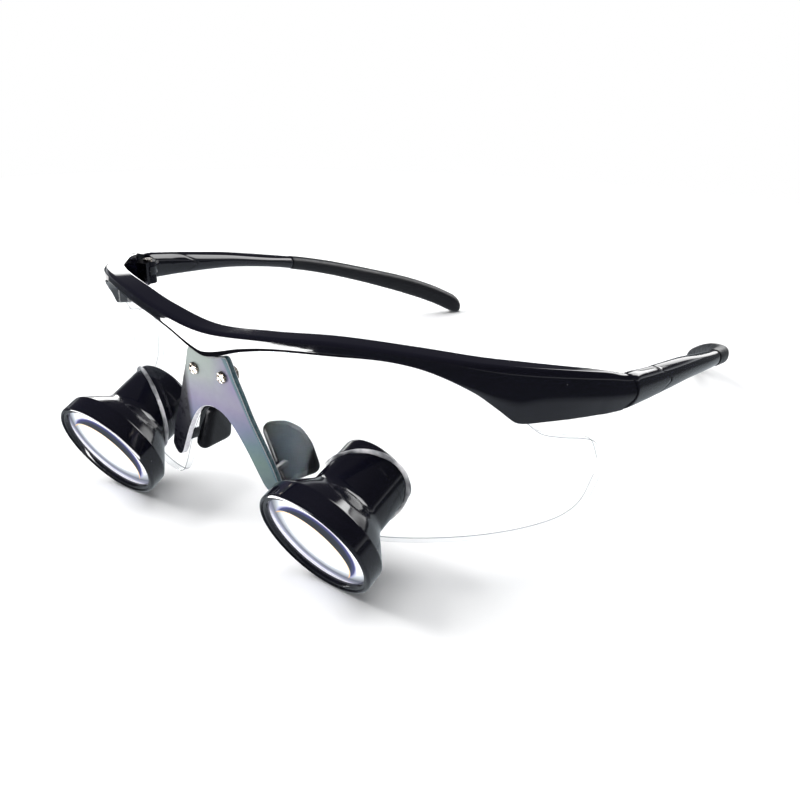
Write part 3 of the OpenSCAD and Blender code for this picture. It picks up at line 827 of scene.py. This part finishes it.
def make_scope(tag, side):
    piece = pieces_of(tag, "frame", 35.0)
    front = revolve(rounded(HOUSING, HOUSING_ROUND), side)
    add_weighted(piece("scope_housing", front, SCOPE_BLACK, "objective_housing", "scope_black"))
    rear = revolve(rounded(EYE_HOUSING, EYE_ROUND), side)
    add_weighted(piece("scope_eye_housing", rear, SCOPE_BLACK, "eyepiece_housing", "scope_black"))
    ring = revolve(rounded(RING, [0.08] * len(RING), 2), side)
    piece("scope_front_ring", ring, SCOPE_BLACK, "objective_ring", "scope_black")
    eye_ring = revolve(EYE_RING, side)
    piece("scope_eye_ring", eye_ring, SCOPE_INNER, "eyepiece_ring", "scope_black")
    # The objective glass gets painted reflections and a painted glow.
    glass, xyz = glass_material(f"objective_glass_{tag}", side)
    paint_glass_reflections(glass, xyz)
    r = GLASS_R + 0.95
    objective = disc_body(arc(r, 1.52, -1.1), arc(r, 4.66, 0.4), side)
    piece("objective_glass", objective, glass, "objective_lens", "optic_glass")
    r = BORE_R - 0.02
    eyepiece = disc_body(arc(r, JOINT_AT + 1.82, 0.5), arc(r, JOINT_AT + 3.3, -0.7), side)
    piece("eye_glass", eyepiece, EYE_GLASS, "eyepiece_lens", "optic_glass")


for tag, side in SIDES:
    make_scope(tag, side)


# ---- holes in the carrier lens, and the glue beads around the barrels ----


def baked(obj):
    """The object's mesh as its modifiers leave it, put in place of the old one."""
    bpy.context.view_layer.update()
    shown = obj.evaluated_get(bpy.context.evaluated_depsgraph_get())
    mesh = bpy.data.meshes.new_from_object(shown)
    obj.modifiers.clear()
    obj.data = mesh
    return mesh


def cut(target, verts, faces):
    """Takes the closed body out of the target's mesh for good."""
    tool_mesh = bpy.data.meshes.new("cutter")
    tool_mesh.from_pydata([tuple(p) for p in verts], [], faces)
    tool = bpy.data.objects.new("cutter", tool_mesh)
    bpy.context.scene.collection.objects.link(tool)
    mod = target.modifiers.new("hole", "BOOLEAN")
    mod.operation = "DIFFERENCE"
    mod.solver = "EXACT"
    mod.object = tool
    baked(target)
    bpy.data.objects.remove(tool)
    bpy.data.meshes.remove(tool_mesh)


HOLE_GAP = 0.03
HOLE_END = 45.0  # well behind the lens
HOLE = [
    (0.0, RIM_BAND),
    (RIM_R + HOLE_GAP, RIM_BAND),
    (BARREL_R + 2.6 + HOLE_GAP, CONE_END - 2.8),
    (BARREL_R + HOLE_GAP, CONE_END + 0.85),
    (BARREL_R + HOLE_GAP, HOLE_END),
]
for _, side in SIDES:
    cut(lens, *disc_body(HOLE, [(0.0, HOLE_END)], side, 96))
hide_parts("carrier_lens")


def brow_place(x, y):
    """Distance along the bar and depth behind its outer face of a plan point on the +X side."""

    def miss(s):
        bx, by = brow_xy(s)
        return (bx - x) ** 2 + (by - y) ** 2

    rough = min((k * 0.5 for k in range(190)), key=miss)
    s = min((rough - 0.5 + k * 0.02 for k in range(51)), key=miss)
    bx, by = brow_xy(s)
    heading = math.radians(brow_turn(s))
    return s, (y - by) * math.cos(heading) - (x - bx) * math.sin(heading)


HALVINGS = 24


def bead_centre(angle, r):
    """Height along the telescope where its barrel meets the middle of the lens."""
    matrix = scope_matrix(1)
    low, high = CONE_END - 2, SCOPE_LEN + 8
    for _ in range(HALVINGS):
        mid = (low + high) / 2
        p = matrix @ Vector((r * math.cos(angle), r * math.sin(angle), mid))
        _, q = brow_place(p.x, p.y)
        if q < lens_depth(p.z) + LENS_T / 2:
            low = mid
        else:
            high = mid
    return mid


BEAD_COUNT = 120
BEAD_ROWS = 12
BEAD_W = 0.5
BEAD_H = 0.5
BEAD_R = BARREL_R + 0.3
bead_line = [bead_centre(2 * math.pi * k / BEAD_COUNT, BEAD_R) for k in range(BEAD_COUNT)]


def bead_mesh(side):
    """A bead of glue that hugs the barrel along the lens, a little uneven."""
    matrix = scope_matrix(side)
    verts = []
    for k in range(BEAD_COUNT):
        a = 2 * math.pi * k / BEAD_COUNT
        at = bead_line[k if side > 0 else (BEAD_COUNT // 2 - k) % BEAD_COUNT]
        uneven = 1 + 0.10 * math.sin(5 * a + 1.3) + 0.07 * math.sin(11 * a + 0.4)
        for j in range(BEAD_ROWS):
            b = 2 * math.pi * j / BEAD_ROWS
            r = BARREL_R + 0.02 + BEAD_W * uneven * max(0.0, math.cos(b)) ** 0.8
            z = at + BEAD_H * uneven * math.sin(b)
            verts.append(to_row(matrix @ Vector((r * math.cos(a), r * math.sin(a), z))))
    return verts, turned_faces(BEAD_ROWS, BEAD_COUNT, BEAD_ROWS)


for tag, side in SIDES:
    piece = pieces_of(tag, "frame", 75.0)
    piece("glue_bead", bead_mesh(side), BEAD_PAINTED_SHEEN, "glue_collar", "clear_bead")


# ---- nose plate, screws and pads ----

PLATE_T = 1.4
PLATE_GAP = 0.05
PLATE_LOW = [(0, 30.4), (3.5, 29.3), (6.2, 26.6), (8.9, 22.5), (11.4, 17.9), (13, 15.2), (14.6, 14.4)]
PLATE_LOW = both_halves(PLATE_LOW + [(15.8, 15.2), (16.4, 16.4)])
PLATE_HIGH = [(0, 41.7), (3, 42.1), (5.3, 42.5), (5.9, 41.4), (7.1, 38.1), (8.5, 34.9), (10.3, 30.4)]
PLATE_HIGH = both_halves(PLATE_HIGH + [(12.5, 25.9), (14.5, 21.8), (15.8, 18.6), (16.4, 16.8)])

# The nose plate's colours are painted reflections of the lens coating.
PLATE_PAINTED_SHEEN = new_material("nose_plate_painted_coating_sheen", (0.3, 0.32, 0.33), 0.3, IOR=1.3, Specular_IOR_Level=0.06)
# The pale edges carry a painted highlight and the teal edges a painted sheen.
EDGE_PAINTED_HIGHLIGHT = worn("nose_plate_edge", (0.75, 0.74, 0.78), 0.25, (1200, 0.2, 0.35))
EDGE_PAINTED_TEAL_SHEEN = worn("nose_plate_edge_teal", (0.06, 0.12, 0.14), 0.3, (1200, 0.2, 0.35))


def paint_plate_sheen(mat):
    """Painted reflection of the lens coating: colours that run from grey-green at the middle to teal
    and blue down the legs.
    """
    xyz = axes_of(mat, object_place(mat))
    down = remap(mat, xyz[2], 0.042, 0.0145)
    leg_sheen_stops = [
        (0.0, (0.28, 0.33, 0.30)),
        (0.22, (0.27, 0.30, 0.30)),
        (0.40, (0.19, 0.17, 0.27)),
        (0.55, (0.12, 0.14, 0.23)),
        (0.68, (0.08, 0.14, 0.165)),
        (0.80, (0.09, 0.15, 0.14)),
        (1.0, (0.13, 0.17, 0.20)),
    ]
    leg_sheen = ramp(mat, math_node(mat, "ADD", down, wobble(mat, 90, 0.05)), leg_sheen_stops)
    # A painted purple sheen at the upper right.
    right = remap(mat, xyz[0], 0.0005, 0.0065)
    purple_sheen = math_node(mat, "MULTIPLY", right, remap(mat, xyz[2], 0.031, 0.036))
    colour = mix_colour(mat, purple_sheen, leg_sheen, (0.22, 0.19, 0.32))
    # A painted teal sheen band along the plate's right edge.
    outwards = math_node(mat, "ADD", xyz[0], math_node(mat, "MULTIPLY_ADD", xyz[2], 0.44, -0.0232))
    band = remap(mat, outwards, -0.0006, -0.0001)
    colour = mix_colour(mat, band, colour, (0.075, 0.14, 0.17))
    # The left leg painted near black, as a dark reflection.
    left = remap(mat, xyz[0], -0.0062, -0.0078)
    colour = mix_colour(mat, left, colour, (0.008, 0.008, 0.012))
    dress(mat, Base_Color=colour)
    vary_roughness(mat, 700, 0.22, 0.36)


paint_plate_sheen(PLATE_PAINTED_SHEEN)
PLATE_STOPS = [(0, 0.5), (5.2, 0.25), (6.4, 0.5), (16.4, 1)]
PLATE_ROWS = 10
PLATE_MATS = [PLATE_PAINTED_SHEEN, EDGE_PAINTED_HIGHLIGHT, EDGE_PAINTED_TEAL_SHEEN, EDGE_PAINTED_HIGHLIGHT]
v, f, edge = sheet(
    mirrored(spread(PLATE_STOPS)),
    lambda a: curve(a, PLATE_LOW),
    lambda a: curve(a, PLATE_HIGH),
    -PLATE_GAP - PLATE_T,
    PLATE_T,
    PLATE_ROWS,
)
stand_in("nose_plate", (v, f), PLATE_MATS, "frame", "nose_bracket", "bridge_plate", edge, 30)

PEG_AT = 13.6  # along the bar
PEG_Z = 18.6
PEG_START = 0.8  # in front of the lens
PEG_R = 1.1
PEG_RINGS = ((0, PEG_R), (7.6, PEG_R), (8.0, PEG_R * 0.75))
PEG_SIDES = 24


def peg_mesh(side):
    """The short peg that carries a nose pad, from the plate back through the lens."""
    base = brow_point(PEG_AT, lens_depth(PEG_Z) - PEG_START, PEG_Z)
    heading = math.radians(brow_turn(PEG_AT))
    back = Vector((-math.sin(heading), math.cos(heading), 0))
    across = Vector((math.cos(heading), math.sin(heading), 0))
    up = Vector((0, 0, 1))
    rings = []
    for along, r in PEG_RINGS:
        ring = []
        for k in range(PEG_SIDES):
            a = 2 * math.pi * k / PEG_SIDES
            p = base + back * along + across * r * math.cos(a) + up * r * math.sin(a)
            ring.append(to_row(p, side))
        rings.append(ring)
    return loft(rings)


for tag, side in SIDES:
    peg = finish_object(f"pad_peg_{tag}", *peg_mesh(side), [PEG_BLACK], "frame")

BRIDGE_Z = 38.1
BRIDGE_HALF_GAP = 4.0
BRIDGE_FRONT = lens_depth(BRIDGE_Z) - 2 * PLATE_GAP - PLATE_T
HEAD_R = 1.3
# The screw from the middle of its head over the edge to the shank: radius and depth
SCREW_PROFILE = [(0.02, -0.62), (0.35, -0.62), (0.75, -0.58), (1.05, -0.46), (1.24, -0.24)]
SCREW_PROFILE += [(HEAD_R, 0.0), (0.7, 0.0), (0.7, 3.0)]
SCREW_SIDES = 48
RECESS_R = 0.95
RECESS_DEPTH = 0.32


def screw_mesh(side, turn):
    """A pan-head screw with a cross recess, its head to the front."""
    rings = []
    for r, depth in SCREW_PROFILE:
        ring = []
        for k in range(SCREW_SIDES):
            a = 2 * math.pi * k / SCREW_SIDES
            sunk = 0.0
            if r < RECESS_R and depth < 0:
                across = min(abs(math.sin(a - turn)), abs(math.cos(a - turn))) * r
                sunk = RECESS_DEPTH * (1 - ease(across, 0.10, 0.22))
            x = side * BRIDGE_HALF_GAP + r * math.cos(a)
            ring.append(to_row((x, BRIDGE_FRONT + depth + sunk, BRIDGE_Z + r * math.sin(a))))
        rings.append(ring)
    return loft(rings)


screws = join_meshes([screw_mesh(-1, 0.5), screw_mesh(1, 0.75)])
stand_in("bridge_screw_pair", screws, [STEEL], "frame", "bridge_screws", "screw_steel", sharp=38)

PAD_COLOUR, PAD_WEAR = (0.004, 0.004, 0.006), (600, 0.14, 0.26)
PAD_RUBBER = worn("pad_rubber_black", PAD_COLOUR, 0.2, PAD_WEAR, IOR=1.5, Specular_IOR_Level=0.12)
add_bump(PAD_RUBBER, 2200, 0.05, 0.0001)
# Centre and radius in mm of the balls that the +X pad's hull goes round
PAD_BALLS = (
    ((9.2, 9.6, 25.2), 1.92),
    ((10.2, 12.4, 24.6), 1.92),
    ((11.3, 14.6, 22.9), 1.9),
    ((12.4, 16.1, 19.8), 1.92),
    ((13.6, 17.0, 15.2), 1.82),
    ((12.6, 10.4, 15.6), 1.82),
)


def pad_mesh(tag, side):
    """The hull of the guide balls."""
    bm = bmesh.new()
    for centre, r in PAD_BALLS:
        ball = bmesh.ops.create_icosphere(bm, subdivisions=3, radius=r * MM)
        bmesh.ops.translate(bm, verts=ball["verts"], vec=to_row(centre, side))
    hull = bmesh.ops.convex_hull(bm, input=bm.verts)
    inside = hull["geom_interior"] + hull["geom_unused"]
    spare = {g for g in inside if isinstance(g, bmesh.types.BMVert)}
    bmesh.ops.delete(bm, geom=list(spare), context="VERTS")
    mesh = bpy.data.meshes.new(f"pad_{tag}")
    bm.to_mesh(mesh)
    bm.free()
    return mesh


def pad_object(tag, side):
    """A soft pad: the hull made even and smoothed, so that its edges are rounded."""
    obj = bpy.data.objects.new(f"nose_pad_soft_{tag}", pad_mesh(tag, side))
    bpy.context.scene.collection.objects.link(obj)
    even = obj.modifiers.new("even", "REMESH")
    even.mode = "VOXEL"
    even.voxel_size = 0.00035
    soften = obj.modifiers.new("soften", "SMOOTH")
    soften.iterations = 6
    soften.factor = 0.5
    mesh = baked(obj)
    mesh.materials.clear()
    mesh.materials.append(PAD_RUBBER)
    for face in mesh.polygons:
        face.use_smooth = True
    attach(obj, "frame")
    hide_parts(f"nose_pad_{tag}")


for tag, side in SIDES:
    pad_object(tag, side)


# ---- temples ----

ROWS = 28  # points round a temple's section
SQUARENESS = 2.25  # 2 is an ellipse and more is squarer
END_INSET = 0.16  # how much the last ring of a length is pulled in, for a soft edge
SLEEVE_GROW = 0.18  # how much the sleeve stands out from the arm


def tip_size(t):
    """Share of the full section left at t, which rounds off the tip."""
    u = max(0.0, (t - TEMPLE_LEN + TIP_ROUND) / TIP_ROUND)
    return max(0.12, math.sqrt(max(0.0, 1 - min(1.0, u) ** 2.4)))


def shell_ring(t, side, grow):
    """A ring of the temple's rounded skin, bowed at the seam and bent to a chevron behind it."""
    bow = SEAM_BOW * (1 - ease(t, 0, SEAM_BLEND))
    chevron = CHEVRON_DEPTH * ease(t, 4, 12) * (1 - ease(t, 26, 40))
    ring = []
    for k in range(ROWS):
        angle = 2 * math.pi * (k + 0.5) / ROWS
        c, s = math.cos(angle), math.sin(angle)
        v = math.copysign(abs(s) ** (2 / SQUARENESS), s)
        w = math.copysign(abs(c) ** (2 / SQUARENESS), c)
        at = t - bow * v * v - chevron * abs(v)
        a = max(at, 0.0)
        size = tip_size(a)
        tall = curve(a, TEMPLE_HALF) * size + grow
        fuller = curve(a, TEMPLE_INNER) if w < 0 else 0.0
        thin = (curve(a, TEMPLE_THIN) + fuller) * size + grow
        p = temple_point(at, TEMPLE_T / 2 - thin * w, curve(a, TEMPLE_MID) + tall * v)
        ring.append(to_row(p, side))
    return ring


TONGUE_R = 2.1
EYE_STEPS = 18
TONGUE_TURN = math.radians(-20.0)
# Corners behind the rounded eye, from the pin's axis, and the height and inset of each ring
TONGUE_ARM = [(2.3, 4.6), (3.2, 6.6), (3.2, 9.0), (1.6, 9.0), (0.4, 6.0)]
TONGUE_RINGS = ((38.5, 0.12), (38.62, 0.0), (40.98, 0.0), (41.1, 0.12))


def tongue_mesh(tag, side):
    """The knuckle that turns on the hinge screw, in the middle of the hinge's height."""
    low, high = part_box(f"hinge_screw_{tag}")
    pin = (low + high) / 2
    outline = []
    for k in range(EYE_STEPS + 1):
        a = math.pi * (1 + k / EYE_STEPS)
        outline.append((TONGUE_R * math.cos(a), TONGUE_R * math.sin(a)))
    rings = []
    for z, inset in TONGUE_RINGS:
        share = (1 - inset / TONGUE_R) * MM
        ring = []
        for x, y in outline + TONGUE_ARM:
            px = (x * math.cos(TONGUE_TURN) - y * math.sin(TONGUE_TURN)) * share
            py = (x * math.sin(TONGUE_TURN) + y * math.cos(TONGUE_TURN)) * share
            ring.append(Vector((pin.x + side * px, pin.y + py, z * MM)))
        rings.append(ring)
    return loft(rings)


# Distances behind the seam at which each length of a temple has its rings
BLOCK_STOPS = [0.15, 0.3, 0.7, 1.5, 2.5, 4, 5.5, 7, 8.5, 10, 11.5, 13, 14.5, 16, 17.0, 17.3, 17.45]
ARM_STOPS = [17.6, 17.75, 18.2, 19, 20.5, 22, 24, 26, 28, 30, 32, 34, 36, 38, 40, 42.5, 45, 47.5]
ARM_STOPS += [50, 52.5, 55, 57.5, 59.2, 59.7, 59.95]
SLEEVE_STOPS = [60.05, 60.2, 60.6, 61.5, 63, 65, 68, 72, 76, 80, 84, 88, 92, 96, 100, 104, 108, 112]
SLEEVE_STOPS += [116, 120, 124, 128, 131, 133.5, 135, 136.2, 137.3, 138.2, 138.9, 139.4, 139.8, 140]


def length_mesh(stops, side, grow=0.0, rear=True):
    """One length of a temple, its ends pulled in a little; without rear the last end is as it is."""
    last = len(stops) - 1
    rings = []
    for i, t in enumerate(stops):
        inset = 0.0
        if i == 0 or (rear and i == last):
            inset = END_INSET
        elif i == 1 or (rear and i == last - 1):
            inset = END_INSET * 0.25
        rings.append(shell_ring(t, side, grow - inset))
    return loft(rings)


for tag, side in SIDES:
    piece = pieces_of(tag, f"temple_{tag}", 42.0)
    block = join_meshes([length_mesh(BLOCK_STOPS, side), tongue_mesh(tag, side)])
    piece("hinge_block_shell", block, TEMPLE_BLACK, "hinge_block", "temple_black")
    arm = length_mesh(ARM_STOPS, side)
    piece("temple_arm_shell", arm, TEMPLE_BLACK, "temple_arm", "temple_black")
    sleeve = length_mesh(SLEEVE_STOPS, side, SLEEVE_GROW, rear=False)
    piece("temple_sleeve_soft", sleeve, SLEEVE_RUBBER, "temple_sleeve", "sleeve_rubber")


# ---- CAD nodes that show as they are ----


def finish_node(name, mat):
    """Gives a CAD node that stays in view its material."""
    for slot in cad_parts[name].material_slots:
        slot.material = mat


finish_node("bridge_nuts", STEEL)
for tag, _ in SIDES:
    finish_node(f"hinge_lug_{tag}", HINGE_METAL)
    finish_node(f"hinge_screw_{tag}", STEEL)
    finish_node(f"temple_core_{tag}", CORE_WIRE)
    finish_node(f"lens_spacer_{tag}", SCOPE_INNER)


# ---- studio ----


def emission(name, strength, soft=0.0):
    """White glow, or with soft above 0 one that fades over that share of the card's edges."""
    mat = bpy.data.materials.new(name)
    surface = bare_surface(mat)
    glow = node(mat, "ShaderNodeEmission", {"Color": (1, 1, 1, 1), "Strength": strength})
    if soft > 0:
        uv = axes_of(mat, node(mat, "ShaderNodeTexCoord").outputs["UV"])
        shares = []
        for axis in (0, 1):
            from_middle = math_node(mat, "ABSOLUTE", math_node(mat, "SUBTRACT", uv[axis], 0.5))
            shares.append(remap(mat, from_middle, 0.5 - soft, 0.5, 1.0, 0.0))
        share = math_node(mat, "MULTIPLY", *shares)
        feed(mat, glow.inputs["Strength"], math_node(mat, "MULTIPLY", share, strength))
    feed(mat, surface, glow.outputs[0])
    return mat


CARD_CORNERS = ((0, 0), (1, 0), (1, 1), (0, 1))


def plane(name, corners, mat):
    """A flat sheet of the studio; one with four corners gets card coordinates from 0 to 1."""
    mesh = bpy.data.meshes.new(name)
    mesh.from_pydata([tuple(c) for c in corners], [], [tuple(range(len(corners)))])
    mesh.materials.append(mat)
    if len(corners) == 4:
        layer = mesh.uv_layers.new(name="card")
        for loop, place in zip(layer.data, CARD_CORNERS):
            loop.uv = place
    obj = bpy.data.objects.new(name, mesh)
    bpy.context.scene.collection.objects.link(obj)
    return obj


def hide_card(obj):
    """Only reflections see the card."""
    obj.visible_camera = False
    obj.visible_diffuse = False
    obj.visible_transmission = False
    obj.visible_shadow = False


def card(name, centre, towards, width, height, strength, soft=0.3):
    """A light card that faces a point and only shows in reflections."""
    middle = Vector(centre)
    look = (Vector(towards) - middle).normalized()
    right = look.cross(Vector((0, 0, 1))).normalized()
    up = right.cross(look)
    corners = []
    for u, v in CARD_CORNERS:
        corners.append(middle + right * ((u - 0.5) * width) + up * ((v - 0.5) * height))
    hide_card(plane(name, corners, emission(name, strength, soft)))


NEAR_DISC = (0.11, 0.17)  # radii in metres between which the floor dims in reflections
DISC_GLOW = (0.55, 0.10)
WHITE_FROM, WHITE_AT = 0.22, 0.5  # radii in metres over which the floor turns plain white


def floor_material():
    """Matt white near the object, plain white far off, and a disc of glow in reflections."""
    mat = bpy.data.materials.new("studio_floor")
    surface = bare_surface(mat)
    matt = node(mat, "ShaderNodeBsdfDiffuse", {"Color": (0.93, 0.93, 0.93, 1)})
    white = node(mat, "ShaderNodeEmission")
    xyz = axes_of(mat, object_place(mat))
    squares = [math_node(mat, "MULTIPLY", xyz[k], xyz[k]) for k in (0, 1)]
    radius = math_node(mat, "SQRT", math_node(mat, "ADD", *squares))
    glow = {"Color": (0.86, 0.94, 1.0, 1), "Strength": remap(mat, radius, *NEAR_DISC, *DISC_GLOW)}
    reflected = node(mat, "ShaderNodeEmission", glow)
    share = remap(mat, radius, WHITE_FROM, WHITE_AT)
    seen = mix_shaders(mat, share, matt.outputs[0], white.outputs[0])
    mirrored_ray = node(mat, "ShaderNodeLightPath").outputs["Is Glossy Ray"]
    feed(mat, surface, mix_shaders(mat, mirrored_ray, seen, reflected.outputs[0]))
    return mat


FLOOR_HALF = 8.0
floor_corners = [((2 * u - 1) * FLOOR_HALF, (2 * v - 1) * FLOOR_HALF, 0) for u, v in CARD_CORNERS]
plane("studio_floor", floor_corners, floor_material())

LIGHT_TARGET = Vector((0, 0, 0.02))


def area_light(name, place, size, power):
    """A square white softbox that lights the object but isn't seen or mirrored."""
    data = bpy.data.lights.new(name, "AREA")
    data.shape = "RECTANGLE"
    data.size = size
    data.size_y = size
    data.energy = power
    obj = bpy.data.objects.new(name, data)
    bpy.context.scene.collection.objects.link(obj)
    obj.location = place
    obj.rotation_euler = (LIGHT_TARGET - Vector(place)).to_track_quat("-Z", "Y").to_euler()
    obj.visible_camera = False
    obj.visible_glossy = False


area_light("key_softbox", (-0.75, -0.38, 0.75), 0.5, 11.0)
area_light("top_softbox", (-0.1, 0.15, 1.0), 0.9, 9.0)

SHEET_Z = 1.5  # mm above the floor


def floor_card(name, corners, strength):
    """A bright flat sheet just above the floor, seen only in reflections."""
    hide_card(plane(name, [to_row((x, y, SHEET_Z)) for x, y in corners], emission(name, strength)))


FRONT_SHEET = [(-60, -22), (-144, -57), (-138, -80), (-120, -150), (-60, -135), (-33, -124.5)]
FRONT_SHEET += [(6, -121), (8, -60)]
floor_card("front_sheet", FRONT_SHEET, 24.0)
floor_card("nose_sheet", [(-14, -14), (-60, -22), (8, -60), (14, -14)], 24.0)
floor_card("back_sheet", [(-102, 110), (-110, 160), (-240, 160), (-240, 60), (-125, 75)], 1.4)
card("back_window", (-0.43, 0.27, 0.07), (0, 0, 0.04), 0.22, 0.14, 7.0)
card("back_low", (0.005, 0.40, 0.05), (0.08, 0.0, 0.04), 0.17, 0.2, 2.2, soft=0.15)
card("back_high", (0.12, 0.36, 0.235), (0.07, -0.02, 0.04), 0.36, 0.24, 6.5, soft=0.12)

# Shade of the mirrored room by the height of the view ray, from level to straight up
ROOM_STOPS = [
    (0.0, (0.9, 0.92, 0.95)),
    (0.05, (0.55, 0.57, 0.6)),
    (0.12, (0.07, 0.07, 0.08)),
    (0.55, (0.06, 0.06, 0.07)),
    (1.0, (0.1, 0.1, 0.11)),
]


def background(world, colour, strength=1.0):
    feeds = {"Color": colour, "Strength": strength}
    return node(world, "ShaderNodeBackground", feeds).outputs[0]


def make_world():
    """White to the camera, a dim room to matt surfaces and a dark one in reflections."""
    world = bpy.data.worlds.new("studio")
    surface = bare_surface(world, "ShaderNodeOutputWorld")
    seen = background(world, (1, 1, 1, 1))
    room = background(world, (0.95, 0.97, 1.0, 1), 0.35)
    ray = axes_of(world, node(world, "ShaderNodeTexCoord").outputs["Generated"])
    mirrored_room = background(world, ramp(world, ray["Z"], ROOM_STOPS))
    path = node(world, "ShaderNodeLightPath").outputs
    direct = mix_shaders(world, path["Is Camera Ray"], room, seen)
    feed(world, surface, mix_shaders(world, path["Is Glossy Ray"], direct, mirrored_room))
    return world


bpy.context.scene.world = make_world()

# ---- camera ----

CAMERA_AT = (119.1504, -103.4721, 100.0692)  # mm from the bar's front
CAMERA_RIGHT = (0.81485, 0.57871, 0.03338)
CAMERA_UP = (-0.25447, 0.30539, 0.91759)
CAMERA_BACK = (0.52082, -0.75620, 0.39612)
SENSOR_WIDTH = 36.0
FOCAL_LENGTH = 37.288


def make_camera():
    data = bpy.data.cameras.new("camera")
    data.sensor_width = SENSOR_WIDTH
    data.lens = FOCAL_LENGTH
    data.clip_start = 0.01
    data.clip_end = 30
    obj = bpy.data.objects.new("camera", data)
    bpy.context.scene.collection.objects.link(obj)
    columns = (CAMERA_RIGHT, CAMERA_UP, CAMERA_BACK, to_row(CAMERA_AT))
    rows = [list(row) for row in zip(*columns)]
    obj.matrix_world = Matrix(rows + [[0, 0, 0, 1]])
    return obj


camera = make_camera()
scene = bpy.context.scene
scene.camera = camera
scene.view_settings.view_transform = "Standard"
scene.view_settings.look = "None"
